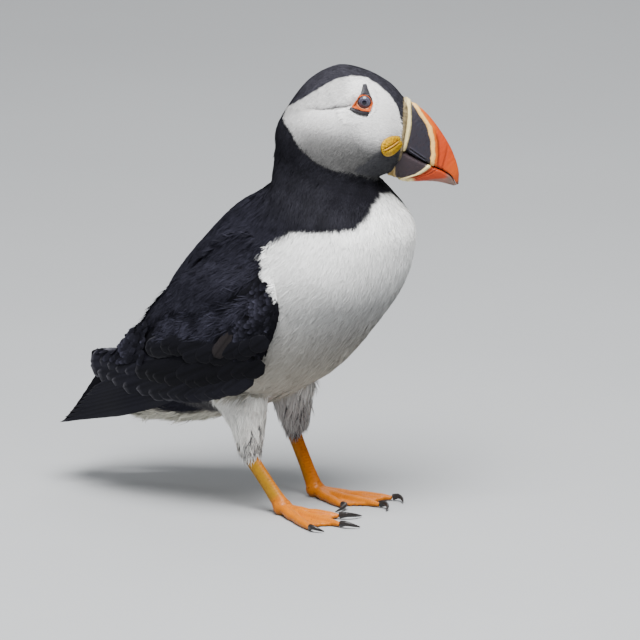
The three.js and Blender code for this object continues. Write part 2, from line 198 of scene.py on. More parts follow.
def set_tint(mesh, tint):
    rgba = np.ones((len(tint), 4))
    rgba[:, :3] = np.clip(tint, 0, 1)
    layer = mesh.color_attributes.new("tint", "FLOAT_COLOR", "POINT")
    layer.data.foreach_set("color", rgba.ravel())


def dress(obj, slot, *nodes):
    """Ties a piece to the bird's one body and hides the CAD nodes that it stands for; slot is not used."""
    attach(obj, "root")
    if nodes:
        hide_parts(*nodes)
    return obj


def grid_faces(rows, cols, wrap=True):
    """Quads of a grid of rows of points; each row closes on itself when it wraps."""
    i, j = np.meshgrid(np.arange(rows - 1), np.arange(cols if wrap else cols - 1), indexing="ij")
    k = (j + 1) % cols
    return np.stack([i * cols + j, i * cols + k, (i + 1) * cols + k, (i + 1) * cols + j], -1).reshape(-1, 4)


def closed_loft(rings):
    """Points and triangles of a tube through rings (rows, count, 3), closed by fans."""
    rows, cols = rings.shape[:2]
    quads = grid_faces(rows, cols)
    pts = np.vstack([rings.reshape(-1, 3), rings[0].mean(0), rings[-1].mean(0)])
    j = np.arange(cols)
    k = (j + 1) % cols
    first, last = np.full((2, cols), [[len(pts) - 2], [len(pts) - 1]])
    end = (rows - 1) * cols
    caps = [np.stack([first, k, j], 1), np.stack([last, end + j, end + k], 1)]
    return pts, np.vstack([quads[:, [0, 1, 2]], quads[:, [0, 2, 3]], *caps])


def joined(parts):
    """Points and faces of several meshes as one."""
    base = np.cumsum([0] + [len(pts) for pts, _ in parts[:-1]])
    return np.vstack([pts for pts, _ in parts]), np.vstack([f + b for (_, f), b in zip(parts, base)])


def co_of(obj):
    co = np.empty(len(obj.data.vertices) * 3)
    obj.data.vertices.foreach_get("co", co)
    return co.reshape(-1, 3) / MM - ORIGIN


def set_co(obj, mm):
    obj.data.vertices.foreach_set("co", ((mm + ORIGIN) * MM).ravel())
    obj.data.update()


def normals_of(obj):
    n = np.empty(len(obj.data.vertices) * 3)
    obj.data.vertices.foreach_get("normal", n)
    return n.reshape(-1, 3)


def tris_of(obj):
    obj.data.calc_loop_triangles()
    t = np.empty(len(obj.data.loop_triangles) * 3, np.int32)
    obj.data.loop_triangles.foreach_get("vertices", t)
    return t.reshape(-1, 3)


def remesh(obj, voxel_mm, smooth_times, material):
    """Voxel remesh and smoothing, applied, in one material."""
    voxel = obj.modifiers.new("voxel", "REMESH")
    voxel.mode = "VOXEL"
    voxel.voxel_size = voxel_mm * MM
    soft = obj.modifiers.new("soft", "SMOOTH")
    soft.factor = 0.5
    soft.iterations = smooth_times
    graph = bpy.context.evaluated_depsgraph_get()
    done = bpy.data.meshes.new_from_object(obj.evaluated_get(graph))
    obj.modifiers.clear()
    old = obj.data
    obj.data = done
    bpy.data.meshes.remove(old)
    done.polygons.foreach_set("use_smooth", np.ones(len(done.polygons), bool))
    done.materials.clear()
    done.materials.append(material)
    return obj


def remade_nodes(name, nodes, voxel_mm, smooth_times, material):
    """CAD nodes as one remeshed piece, whose own shapes stay as they are."""
    pieces = [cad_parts[node] for node in nodes]
    obj = new_mesh(name, *joined([(co_of(piece), tris_of(piece)) for piece in pieces]))
    return remesh(obj, voxel_mm, smooth_times, material)


def bvh_of(pts, tris):
    return BVHTree.FromPolygons([Vector(p) for p in pts], [tuple(int(i) for i in t) for t in tris])


# ------------------------------------------------------------------ materials
def add_node(tree, kind, **values):
    """A shader node with its sockets' values; _ stands for a space in a socket's name."""
    node = tree.nodes.new("ShaderNode" + kind)
    for name, value in values.items():
        node.inputs[name.replace("_", " ")].default_value = value
    return node


def principled(name, roughness, specular, sheen=0.0, coat=0.0):
    mat = bpy.data.materials.new(name)
    mat.use_nodes = True
    shader = mat.node_tree.nodes["Principled BSDF"]
    shader.inputs["Roughness"].default_value = roughness
    shader.inputs["Specular IOR Level"].default_value = specular
    shader.inputs["Sheen Weight"].default_value = sheen
    shader.inputs["Sheen Roughness"].default_value = 0.4
    shader.inputs["Coat Weight"].default_value = coat
    shader.inputs["Coat Roughness"].default_value = 0.12
    return mat, mat.node_tree, shader


def tinted(name, vary, grain, bump, bump_grain, dark=(0.0, 0.0, 0.0), **finish):
    """A material that takes its colour from the piece's tint; grain and bump are in mm, vary is the
    share of the dark colour in the grain."""
    mat, tree, shader = principled(name, **finish)
    link = tree.links.new
    tint = add_node(tree, "Attribute")
    tint.attribute_name = "tint"
    place = add_node(tree, "TexCoord").outputs["Object"]
    coarse = add_node(tree, "TexNoise", Scale=1 / (grain * MM), Detail=3)
    link(place, coarse.inputs["Vector"])
    share = add_node(tree, "MapRange", From_Min=0.25, From_Max=0.75, To_Min=0, To_Max=vary)
    link(coarse.outputs["Fac"], share.inputs["Value"])
    blend = add_node(tree, "Mix")
    blend.data_type = "RGBA"
    blend.inputs["B"].default_value = (*dark, 1)
    link(share.outputs["Result"], blend.inputs["Factor"])
    link(tint.outputs["Color"], blend.inputs["A"])
    link(blend.outputs["Result"], shader.inputs["Base Color"])
    fine = add_node(tree, "TexNoise", Scale=1 / (bump_grain * MM), Detail=4)
    link(place, fine.inputs["Vector"])
    relief = add_node(tree, "Bump", Distance=bump * MM, Strength=0.6)
    link(fine.outputs["Fac"], relief.inputs["Height"])
    link(relief.outputs["Normal"], shader.inputs["Normal"])
    return mat


PLUME = tinted("plume", 0.22, 1.4, 0.12, 0.6, roughness=0.7, specular=0.04)
PLUME_WHITE = tinted("plume_white", 0.05, 2.2, 0.10, 0.6, (0.35, 0.34, 0.33), roughness=0.8, sheen=0.04,
                     specular=0.08)
SKIN = tinted("skin_under_plumage", 0.25, 1.5, 0.15, 0.9, roughness=0.9, specular=0.03)
QUILL = tinted("flight_feather", 0.25, 1.0, 0.06, 0.35, roughness=0.5, specular=0.06)
HORN = tinted("bill_horn", 0.16, 1.8, 0.10, 0.9, (0.05, 0.02, 0.01), roughness=0.4, coat=0.05, specular=0.18)
GAPE = tinted("gape_skin", 0.3, 0.9, 0.14, 0.5, (0.20, 0.07, 0.0), roughness=0.45, coat=0.05, specular=0.18)
LID = tinted("lid_skin", 0.25, 0.6, 0.06, 0.3, (0.02, 0.01, 0.01), roughness=0.45, specular=0.2)
LEG = tinted("leg_skin", 0.28, 1.3, 0.12, 0.5, (0.16, 0.035, 0.0), roughness=0.45, coat=0.05, specular=0.18)
CLAW = tinted("claw_horn", 0.4, 0.9, 0.04, 0.4, (0.03, 0.022, 0.018), roughness=0.32, coat=0.15, specular=0.3)
EYEBALL = tinted("eyeball", 0.2, 0.35, 0.004, 1.0, roughness=0.12, coat=0.25, specular=0.25)

# ------------------------------------------------------------------ markings
WHITE = np.array([0.88, 0.88, 0.865])
FACE = np.array([0.84, 0.83, 0.82])
CHIN = np.array([0.052, 0.052, 0.058])
CROWN = np.array([0.031, 0.030, 0.038])
COLLAR = np.array([0.0092, 0.0090, 0.0120])
MANTLE = np.array([0.0120, 0.0118, 0.0172])
OLIVE = np.array([0.27, 0.21, 0.115])  # the bare strip between face and bill
# The face's upper and lower edges as (x, z) points, before the head's turn.
FACE_TOP = np.array([(-23, 189), (-20.9, 191.3), (-14.6, 194.6), (-7.4, 198.8), (-2, 202), (2.6, 204.3),
                     (9.6, 205.4), (16.1, 204.6), (21.2, 201.3), (26.8, 196.4), (30.3, 190.5), (32.2, 184.5),
                     (32.8, 176)])
FACE_LOW = np.array([(-23, 188.8), (-20.9, 184), (-18, 179.6), (-14.6, 172.8), (-7.4, 166), (-0.2, 162.2),
                     (6.8, 160.2), (14, 158.4), (19.8, 157), (24, 157), (33, 158)])
FACE_LEAN = 0.2126  # how much higher the edges stand for each mm outward from the head's middle
FRONT_Z = [155, 160, 172, 186, 194, 200]  # where the plumage ends at the bill
FRONT_X = [28.5, 29.0, 31.5, 32.6, 33.0, 34.0]
BIB = np.array([(0, 151.8), (12, 149.6), (20, 145), (28, 141.3), (42, 140.2), (46, 139.5), (48, 136)])
BIB_MID = 4.0  # the collar swings to the left with the turned head
FLANK_X = [-120, -104, -90, -80, -66, -58, -52, -48, -44, -30, -22, -14, -12.6, -11, -8, -2, 6]
FLANK_Z = [33, 35, 41, 44, 44, 45, 47, 52, 60, 88, 110, 119, 129, 132, 134.2, 137.6, 141]
UNDERSIDE_SHADE_Z = [40, 66, 80, 90, 104, 112, 122]  # painted shade: the underside is darker than the breast, as less light reaches it
UNDERSIDE_SHADE = [0.60, 0.44, 0.36, 0.36, 0.48, 0.72, 1.0]
CHEEK_SHADE_Z = [159, 165, 170, 174, 178, 182, 187]  # and the cheek darkens towards its lower edge: partly its own grey, partly painted shade
CHEEK_GREY_AND_SHADE = [0.06, 0.09, 0.12, 0.17, 0.32, 0.70, 1.0]


def face_colour(x, z, p, low, edge):
    """The pale face, with its dusky chin, its cheek darker below in its own grey and painted shade, and the
    crease behind the eye in painted shade.
    """
    level = np.interp(z + 0.2 * x, CHEEK_SHADE_Z, CHEEK_GREY_AND_SHADE)
    col = FACE * level[:, None]
    over_crease = smooth(z - np.interp(x, [-20, 9], [187.2, 190.5]), 0, 1.5) * fall(x, 4, 12)
    col = mix(col, FACE * (0.56 + 0.16 * noise(p, 3, 8))[:, None], 0.9 * over_crease)
    # The front of the face is kept clear of the cheek's painted shade.
    col = mix(col, FACE, 0.7 * fall(np.hypot((x - 21) / 11, (z - 184) / 13), 0.3, 1.3))
    col = mix(col, FACE * 0.5, 0.6 * fall(x, -20, -9) * smooth(z, 172, 180))
    below = (x - 10) * 0.592 - (z - 161.2) * 0.806  # past the line from the gape down to the throat
    chin = smooth(below + edge, -0.6, 1.2) * smooth(173.5 - z, 0, 2) * smooth(x, 7, 12)
    col = mix(col, CHIN, chin * (1 - 0.75 * smooth(low + 1.6 - z, 0, 1.2)))
    # Painted shade along the crease behind the eye.
    crease = np.abs(z - np.interp(x, [-11.5, -5.5, 0, 8], [191, 190.3, 190.4, 191.4]))
    return mix(col, FACE * 0.12, 0.9 * fall(crease, 0.2, 1.1) * smooth(x, -12, -9) * fall(x, 8, 9.5))


def markings(p, s):
    """Plumage colour at points p with their station on the body, with painted shade on the underside and
    cheek, how white each is, whether it is on the face, and how far it is from the nearest edge of a marking."""
    edge = noise(p, 5, 3) * 0.5 + noise(p, 2.2, 4) * 0.35
    h = unturn_head(p)
    x, z = h[:, 0], h[:, 2] - FACE_LEAN * np.abs(h[:, 1])
    top = np.interp(x, FACE_TOP[:, 0], FACE_TOP[:, 1])
    low = np.interp(x, FACE_LOW[:, 0], FACE_LOW[:, 1])
    face = smooth(top - z + edge * 0.5, -0.4, 0.5) * smooth(z - low + edge, -0.6, 0.7) * (x > -21.8) * (s > 9)
    col = mix(mottled(MANTLE, p, 0.25, 14, 5), mottled(COLLAR, p, 0.25, 14, 5), smooth(s, 6.5, 8.5))
    col = mix(col, mottled(CROWN, p, 0.3, 3, 9), smooth(s, 11, 13) * smooth(z, 176, 192))
    bib = np.interp(np.abs(p[:, 1] - BIB_MID), BIB[:, 0], BIB[:, 1])
    front = smooth(bib - p[:, 2] + edge * 1.2, -0.8, 1.2) * (s < 11)
    flank = smooth(np.interp(p[:, 0], FLANK_X, FLANK_Z) - p[:, 2] + edge * 1.5, -1.5, 1.5)
    white = front * np.where(p[:, 0] < FLANK_X[-1], flank, 1.0)
    # Painted shade: the white darkens towards the underside and turns warmer low on the belly.
    shade = np.interp(p[:, 2], UNDERSIDE_SHADE_Z, UNDERSIDE_SHADE)
    belly = WHITE * shade[:, None] * (1 + 0.05 * noise(p, 22, 6))[:, None]
    belly = mix(belly, belly * np.array([1.0, 0.93, 0.78]), 0.8 * fall(p[:, 2], 65, 105))
    col = mix(col, belly, white)
    col = mix(col, face_colour(x, z, p, low, edge), face)
    rim = np.minimum(np.minimum(np.abs(top - z), np.abs(z - low)) + 6 * (s < 10), np.abs(bib - p[:, 2]))
    return col, np.maximum(white, face), face, rim


# ------------------------------------------------------------------ skin under the plumage
FACE_DEPTH = 0.9  # how far the skin lies under the plumage
TRUNK_DEPTH = 1.6
SKIN_ROWS, SKIN_COLS = 150, 96
EYE_AT = np.array([14.7, 197.0])  # x and z before the head's turn
ROSETTE_AT = np.array([27.4, 175.7])
EYE_RADIUS = 3.9
OPENING = 3.05  # radius of the opening between the lids
LEGS = {
    "right": dict(ankle=(-32.5, -20, 26), joint=(-15, -20, 3.6), toes=dict(inner=9, middle=-16, outer=-40)),
    "left": dict(ankle=(-32.5, 21, 29.5), joint=(-21, 21, 3.6), toes=dict(inner=-34, middle=-9, outer=15)),
}


def circle(count):
    return np.linspace(0, 2 * np.pi, count, endpoint=False)


HEAD_ROWS = np.linspace(9, LAST, 120)[:, None]
HEAD_BEFORE_TURN = bvh_of(*closed_loft(body_points(HEAD_ROWS, circle(120), flat=True)))


def head_surface(x, z):
    """How far out the head's side is at places (x, z) before the turn."""
    out = np.full(x.shape, 8.0)
    for i in np.ndindex(x.shape):
        hit = HEAD_BEFORE_TURN.ray_cast(Vector((x[i], -60, z[i])), Vector((0, 1, 0)))[0]
        if hit:
            out[i] = -hit.y
    return out


EYE_OUT = head_surface(EYE_AT[:1], EYE_AT[1:])[0]
EYE_MID = np.array([EYE_AT[0], EYE_OUT - EYE_RADIUS + 0.15, EYE_AT[1]])


def thigh_rings(leg):
    ax, ay, az = leg["ankle"]
    spots = np.array([(-42, ay * 1.05, 60, 20, 13.5), (-34.5, ay * 1.03, 41, 10.3, 8.8),
                      (ax - 0.6, ay, az + 4.5, 6.2, 5.6), (ax + 0.3, ay, az, 4.6, 4.2)])
    line = catmull(spots, np.linspace(0, 1, 24))
    a = circle(40)
    deep = np.maximum(line[:, 3:4] - TRUNK_DEPTH, 2.6)
    wide = np.maximum(line[:, 4:5] - TRUNK_DEPTH, 2.4)
    x = line[:, 0:1] + deep * np.cos(a)
    y = line[:, 1:2] + wide * np.sin(a)
    z = line[:, 2:3] - 0.25 * deep * np.cos(a)
    return np.stack([x, y, z], -1)


def make_skin():
    s = np.linspace(0, LAST, SKIN_ROWS)[:, None]
    depth = TRUNK_DEPTH + (FACE_DEPTH - TRUNK_DEPTH) * smooth(s, 9.5, 12)
    rings = body_points(s, circle(SKIN_COLS), -depth)
    ahead = turn_head(np.array([NECK_AXIS_X + 1.0, 0, -0.12])) - turn_head(np.array([NECK_AXIS_X, 0, 0]))
    mid = rings[-1].mean(0)
    muzzle = [mid + (rings[-1] - mid) * share + ahead * reach for share, reach in ((0.97, 1.3), (0.85, 2.4))]
    lofts = [np.concatenate([rings, muzzle]), *map(thigh_rings, LEGS.values())]
    obj = new_mesh("skin", *joined([closed_loft(loft) for loft in lofts]))
    return remesh(obj, voxel_mm=1.1, smooth_times=6, material=SKIN)


# A table of places over the whole body, to look up where a point is and how the plumage lies there.
TABLE_ROWS, TABLE_COLS = 341, 144
table_s = np.linspace(0, LAST, TABLE_ROWS)
table_a = np.linspace(-np.pi, np.pi, TABLE_COLS, endpoint=False)
table_grid = body_points(table_s[:, None], table_a)
table_tree = KDTree(table_grid.size // 3)
for index, point in enumerate(table_grid.reshape(-1, 3)):
    table_tree.insert(point, index)
table_tree.balance()
table_lie = -unit(np.gradient(table_grid, axis=0))
table_out = unit(np.cross(table_lie, np.roll(table_grid, -1, 1) - np.roll(table_grid, 1, 1)))


def place_on_body(p):
    """Station, angle, lie of the plumage and outward way at points near the body."""
    index = np.array([table_tree.find(q)[1] for q in p])
    row, col = index // TABLE_COLS, index % TABLE_COLS
    return table_s[row], table_a[col], table_lie[row, col], table_out[row, col]


def shape_head(obj):
    """The eye's hollow, the crease behind it, the brow and the cheek."""
    co, n = co_of(obj), normals_of(obj)
    h = unturn_head(co)
    side = np.abs(h[:, 1])
    head = smooth(place_on_body(co)[0], 9.5, 11.5)
    x, z = h[:, 0], h[:, 2]
    eye = np.hypot(x - EYE_AT[0], z - EYE_AT[1])
    move = -1.3 * band(eye, 0, 4.6) * smooth(side, 8, 13)
    line_z = np.interp(x, [-13, -5.5, 0, 9], [194.6, 194.2, 194.6, 195.8])
    crease = band(z, line_z, 0.9) * smooth(x, -14, -9) * fall(x, 9, 12)
    move -= 0.9 * crease * smooth(side, 10, 15)
    move += 0.7 * np.exp(-(((z - line_z + 7) / 6) ** 2 + ((x - 4) / 14) ** 2)) * smooth(side, 8, 14)
    co = co + n * (move * head)[:, None]
    h = unturn_head(co)
    side = np.abs(h[:, 1])
    within = (1 - smooth(eye, 3.6, 6.6)) * head * (side > 12)  # kept behind the eyeball and its lids
    side = side - within * np.maximum(side - (EYE_OUT - 2.1), 0)
    h[:, 1] = np.sign(h[:, 1]) * side
    set_co(obj, np.where((within > 0)[:, None], turn_head(h), co))


def skin_colour(co):
    """The plumage's colour, darkened as painted shade under the tufts, with the bare olive strip at the bill.
    """
    h = unturn_head(co)
    strip = smooth(h[:, 0] - np.interp(h[:, 2], FRONT_Z, FRONT_X), -0.5, 0.1) * smooth(h[:, 2], 165, 170)
    return mix(markings(co, place_on_body(co)[0])[0], mottled(OLIVE, co, 0.6, 0.9, 27), strip) * 0.8


skin = make_skin()
shape_head(skin)
skin_co, skin_tris, skin_normals = co_of(skin), tris_of(skin), normals_of(skin)
skin_bvh = bvh_of(skin_co, skin_tris)
set_tint(skin.data, skin_colour(skin_co))
dress(skin, "plumage_breast", "breast", "rump", "neck", "head", "thigh_right", "thigh_left")

# ------------------------------------------------------------------ eyes, lids, plates and rosettes
RING_SHAPE = [(-6.0, -1.7), (-1.5, 3.6), (2.0, 3.3), (4.1, -0.6), (2.6, -4.3)]  # the orange ring's corners
BROW_SHAPE = [(-2.0, 3.0), (-1.2, 5.2), (-0.7, 7.4), (1.0, 7.4), (1.9, 5.0), (3.0, 2.4), (0.4, 3.2)]
PLATE_SHAPE = [(-6.2, -1.7), (-2.6, -3.5), (2.3, -4.3), (1.9, -6.2), (-1.8, -5.1), (-5.2, -3.7), (-7.2, -2.7)]
SLATE = np.array([0.030, 0.030, 0.036])
LOWER_SLATE = np.array([0.019, 0.018, 0.022])
IRIS = np.array([0.080, 0.078, 0.112])
RING_RED = np.array([0.44, 0.075, 0.010])


def through(corners):
    """A closed outline through corners, rounded by blending each point with its neighbours."""
    seg = np.vstack([corners, corners[:1]])
    length = np.r_[0, np.cumsum(np.linalg.norm(np.diff(seg, axis=0), axis=1))]
    t = np.linspace(0, length[-1], 160, endpoint=False)
    line = np.stack([np.interp(t, length, seg[:, k]) for k in (0, 1)], 1)
    for _ in range(5):
        line = (np.roll(line, 1, 0) + line + np.roll(line, -1, 0)) / 3
    return line


def ring_reach(angles):
    """How far the orange ring reaches from the eye's middle at each angle."""
    line = through(RING_SHAPE)
    a = np.arctan2(line[:, 1], line[:, 0])
    order = np.argsort(a)
    return np.interp(angles, a[order], np.hypot(line[:, 0], line[:, 1])[order], period=2 * np.pi)


def face_piece(name, side, grid, tint, material, slot, *nodes):
    """A piece on one side of the head from rings of points (x, out, z) before the turn."""
    faces = grid_faces(*grid.shape[:2])
    p = turn_head(grid.reshape(-1, 3) * np.array([1, side, 1]))
    obj = new_mesh(name, p, faces if side < 0 else faces[:, ::-1], tint, material=material)
    dress(obj, slot, *nodes)


def make_eye(word, side):
    t, a = np.linspace(0, np.pi, 48)[:, None], circle(64)
    r = EYE_RADIUS * np.sin(t)
    grid = EYE_MID + np.stack([r * np.cos(a), EYE_RADIUS * np.cos(t) + 0 * a, r * np.sin(a)], -1)
    ring, angle, facing = (q.ravel() for q in np.broadcast_arrays(r, a, np.cos(t)))
    col = IRIS * (1 + 0.2 * np.sin(9 * angle))[:, None]
    col = mix(col, IRIS * 0.55, band(ring, 1.75, 0.35))
    col = mix(col, np.array([0.018, 0.012, 0.016]), smooth(ring, 2.5, 3.0))
    col = mix(col, np.array([0.005, 0.004, 0.010]), fall(ring, 1.0, 1.25) * (facing > 0))
    face_piece("eyeball_" + word, side, grid, col, EYEBALL, "eye", "eye_" + word)


def make_lids(word, side):
    """The orange ring, from the eye's opening to its corners, with a beaded inner rim."""
    t, a = np.linspace(0, 1, 30)[:, None], circle(128)
    outer = np.maximum(ring_reach(a) + 0.1, OPENING + 0.7)
    r = OPENING + (outer - OPENING) * t
    x, z = EYE_MID[0] + r * np.cos(a), EYE_MID[2] + r * np.sin(a)
    rim = EYE_MID[1] + np.sqrt(EYE_RADIUS**2 - OPENING**2)
    bead = 0.35 * band(t, 0.12, 0.14)
    out = rim * (1 - smooth(t, 0, 0.8)) + (head_surface(x, z) - 0.35) * smooth(t, 0, 0.8) + bead + 0.1
    out += 0.10 * np.sin(14 * a) * band(t, 0.5, 0.4)
    out[-1] -= 1.0
    out[0] -= 0.9
    grid = np.stack([x, out, z], -1)
    share, angle = (q.ravel() for q in np.broadcast_arrays(t, a))
    col = mottled(RING_RED, grid.reshape(-1, 3), 0.3, 1.6, 9)
    pale = 0.8 * band(share, 0.12, 0.10) * fall(np.cos(angle - 0.9), -0.5, 0.1)
    col = mix(col, np.array([0.55, 0.30, 0.19]), pale)
    col = mix(col, RING_RED * 0.3, 0.8 * fall(share, 0, 0.06))
    face_piece("eyelids_" + word, side, grid, col, LID, "eye")


def make_plate(name, side, corners, thick, colour):
    """A raised bare plate by the eye; its corners are about the eye's middle."""
    mid = np.mean(corners, 0)
    t = np.linspace(0.02, 1, 14)[:, None, None]
    spots = EYE_MID[[0, 2]] + mid + through(corners - mid) * t
    x, z = spots[..., 0], spots[..., 1]
    grid = np.stack([x, head_surface(x, z) - 0.3 + thick * (1 - t[..., 0] ** 2.5), z], -1)
    grid[..., 1] += 0.05 * noise(grid.reshape(-1, 3), 1.2, 11).reshape(x.shape)
    grid[-1, :, 1] -= 0.9
    face_piece(name, side, grid, mottled(colour, grid.reshape(-1, 3), 0.25, 1.5, 12), LID, "eye")


def make_rosette(word, side):
    """The wrinkled yellow skin at the corner of the mouth, with the slit of the gape across it."""
    t, a = np.linspace(0.01, 1, 40)[:, None], circle(160)
    wrapped = np.mod(a + np.pi, 2 * np.pi) - np.pi
    reach = 1 + 0.05 * np.cos(3 * a + 0.6) - 0.20 * band(wrapped, -0.02, 0.22)
    reach += 0.08 * band(wrapped, -0.5, 0.25)
    dx, dz = 5.5 * t * reach * np.cos(a), 4.7 * t * reach * np.sin(a)
    tilt = math.radians(22)
    x = ROSETTE_AT[0] + dx * math.cos(tilt) - dz * math.sin(tilt)
    z = ROSETTE_AT[1] + dx * math.sin(tilt) + dz * math.cos(tilt)
    held = np.minimum(x, 28.0)  # the head's side ends here; the skin slopes inward ahead of it
    folds = np.sin(17 * a + 3 * np.sin(2 * a)) * smooth(t, 0.25, 0.6) * fall(t, 0.8, 0.95)
    rings = np.cos(2 * np.pi * 2.2 * t + 0.8 * np.sin(3 * a))
    within = fall(np.abs(dx) / 4.2, 0.7, 1)
    slit = (band(dz, -0.7, 0.3) + band(dz, 0.7, 0.3)) * within
    lip = band(dz, 0.0, 0.38) * within
    out = head_surface(held, z) - 1.5 * (x - held) - 0.4 + 1.7 * (1 - t**4)
    out += 0.12 * folds + 0.14 * rings * smooth(t, 0.2, 0.5) - 0.7 * slit + 0.2 * lip
    out[-1] -= 1.2
    grid = np.stack([x, out, z], -1)
    p = grid.reshape(-1, 3)
    # Painted shade in the slit, in the folds' and rings' hollows and round the outer edge.
    crease = np.maximum(0.8 * slit, 0.45 * fall(folds, -1.0, -0.3))
    crease = np.maximum(crease, 0.3 * fall(rings, -1.0, -0.5))
    crease = np.maximum(crease, 0.8 * smooth(t, 0.92, 1.0))
    blush = fall(np.hypot((dx - 0.3) / 4.2, (dz - 1.2) / 2.4), 0.6, 1.1).ravel()
    col = plain((0.47, 0.275, 0.0), len(p))
    col = mix(col, np.array([0.40, 0.13, 0.0]), 0.8 * blush * smooth(noise(p, 1.4, 26), -0.2, 0.5))
    col = mix(col, np.array([0.12, 0.035, 0.0]), np.clip(crease.ravel(), 0, 1))
    col = mix(col, np.array([0.56, 0.31, 0.09]), 0.8 * lip.ravel())
    face_piece("gape_rosette_" + word, side, grid, col, GAPE, "gape_rosette", "rosette_" + word)


for word, side in SIDES.items():
    make_eye(word, side)
    make_lids(word, side)
    make_plate("brow_plate_" + word, side, BROW_SHAPE, 0.75, SLATE)
    make_plate("lower_plate_" + word, side, PLATE_SHAPE, 0.7, LOWER_SLATE)
for word, side in SIDES.items():
    make_rosette(word, side)

# ------------------------------------------------------------------ bill
# Upper edge, mouth line and lower edge as (x, z) points from the base to the tip, before the head's turn.
CULMEN = [(34, 195.2), (42.6, 189.1), (49.6, 180.5), (55.2, 171), (58.4, 161.5), (58.5, 154.6)]
TOMIUM = [(31, 172.2), (38, 168.2), (44.9, 164.6), (50.5, 161.9), (55, 158.8), (57.4, 154.4)]
GONYS = [(29.4, 158), (33, 155.9), (38, 155.8), (44, 156), (50, 155.4), (56, 153.8)]
LOWER_TOP = [(x - 0.05, z - 0.10) for x, z in TOMIUM]
UPPER_HALF = (7.8, 7.1, 6.1, 5, 3.6, 1.2)
LOWER_HALF = (7, 6.4, 5.5, 4.4, 3.1, 1)
CREAM = np.array([0.74, 0.44, 0.13])
PALE_YELLOW = np.array([0.74, 0.61, 0.29])
CHARCOAL = np.array([0.021, 0.021, 0.029])
RED = np.array([0.40, 0.042, 0.008])
ORANGE = np.array([0.54, 0.110, 0.006])
FLESH = np.array([0.26, 0.17, 0.14])


def bill_grid(upper, lower, halves, widest, mouth):
    """Rings of points of one half of the bill; mouth is 1 where its flat face is above and -1 below."""
    t = np.linspace(0, 1, 200)
    top, low = catmull(upper, t), catmull(lower, t)
    half = catmull(np.array(halves)[:, None], t)
    up = top - low
    height = np.linalg.norm(up, axis=1, keepdims=True) / 2
    up = up / (2 * height)
    mid = top - up * height
    a = circle(144)
    at_mouth = smooth(mouth * np.cos(a), 0.0, 0.5)
    along = rounded(np.cos(a), 0.75 - 0.35 * at_mouth)
    y = half * rounded(np.sin(a), 0.8 - 0.30 * at_mouth) * (1 - widest * along) / (1 + abs(widest))
    x = mid[:, :1] + up[:, :1] * height * along
    z = mid[:, 1:] + up[:, 1:] * height * along
    grid = np.stack([x, y, z], -1)
    base = grid[0] + (grid[0].mean(0) - grid[0]) * 0.12 - np.array([4.0, 0, 0])
    root = grid[0] + (base - grid[0]) * np.linspace(1, 0, 14, endpoint=False)[:, None, None]
    return np.concatenate([root, grid])


def grid_normals(g):
    n = unit(np.cross(np.gradient(g, axis=0), np.roll(g, -1, 1) - np.roll(g, 1, 1)))
    inward = np.sum(n * (g - g.mean(1, keepdims=True)), -1, keepdims=True)
    return np.where(inward < 0, -n, n)


def bill_marks_upper(x, z):
    """Height of the relief in mm and the colour at points of the upper bill, from the cere outward."""
    p = np.stack([x, 0 * x, z], -1)
    ridge = np.interp(z, [164, 169, 175, 182, 188, 194], [45.9, 46.6, 46.6, 44.9, 41.0, 37.2])
    cere = np.interp(z, [171, 176, 184, 194], [33.4, 34.9, 36.4, 36.1])
    groove = ridge + 2.8 - 0.03 * (z - 164)
    groove_run = smooth(z, 161, 166) * fall(z, 175, 183)
    weak_groove = ridge + np.interp(z, [160, 170, 176], [4.6, 6.2, 7.4])
    weak_run = smooth(z, 159, 163) * fall(z, 169, 176)
    nostril = smooth(x, 35.3, 36.2) * fall(x, 42.4, 43.6)
    from_slit = z - np.interp(x, [35, 43], [172.9, 167.2])
    lift = 0.85 * smooth(cere - x, -0.5, 0.6) + 0.55 * band(x, ridge, 1.0)
    lift -= 0.35 * band(x, cere + 0.8, 0.6)
    lift -= 0.42 * band(x, groove, 0.55) * groove_run + 0.30 * band(x, weak_groove, 0.6) * weak_run
    lift -= 0.45 * band(from_slit, 0, 0.45) * nostril
    lift += 0.18 * (band(from_slit, -0.8, 0.3) + band(from_slit, 0.8, 0.3)) * nostril
    lift += 0.05 * noise(p, 2.3, 21)
    wavy = x + 0.25 * noise(p, 4, 22)
    outer = mix(plain(RED, len(p)), ORANGE, 0.75 * smooth(band(wavy, ridge + 1.6, 1.1), 0.2, 0.9))
    fade = smooth(np.hypot(x - 46.5, z - 171) - 6, 0, 9)
    outer = mix(outer, ORANGE * np.array([0.98, 0.9, 0.9]), 0.45 * fade)
    # Painted shade in the grooves.
    outer = mix(outer, RED * 0.30, 0.85 * band(x, groove, 0.5) * groove_run)
    outer = mix(outer, RED * 0.4, 0.6 * band(x, weak_groove, 0.5) * weak_run)
    tip = fall(np.hypot(x - 58.2, z - 154.2), 1.2, 2.6)
    outer = mix(outer, np.array([0.10, 0.05, 0.035]), 0.85 * tip)
    col = mix(plain(CHARCOAL, len(p)), CHARCOAL * 0.35, 0.7 * smooth(noise(p, 1.3, 23), 0.55, 0.9))
    col = mix(col, outer, smooth(wavy - ridge, 0.6, 1.4))
    col = mix(col, CREAM, fall(np.abs(wavy - ridge), 0.75, 1.25))
    lips = band(from_slit, -0.8, 0.25) + band(from_slit, 0.8, 0.25)
    col = mix(col, CHARCOAL * 4, 0.6 * nostril * lips)
    # Painted shade in the nostril's slit.
    col = mix(col, CHARCOAL * 0.2, nostril * band(from_slit, 0, 0.35))
    col = mix(col, PALE_YELLOW, smooth(cere - wavy, -0.5, 0.1))
    pore = smooth(noise(p, 0.9, 24), 0.7, 0.95) * smooth(cere - x, 0, 0.6)
    col = mix(col, np.array([0.16, 0.12, 0.05]), 0.6 * pore)
    return lift, mix(col, OLIVE, 0.85 * smooth(cere - 1.9 - x, -0.2, 0.35))


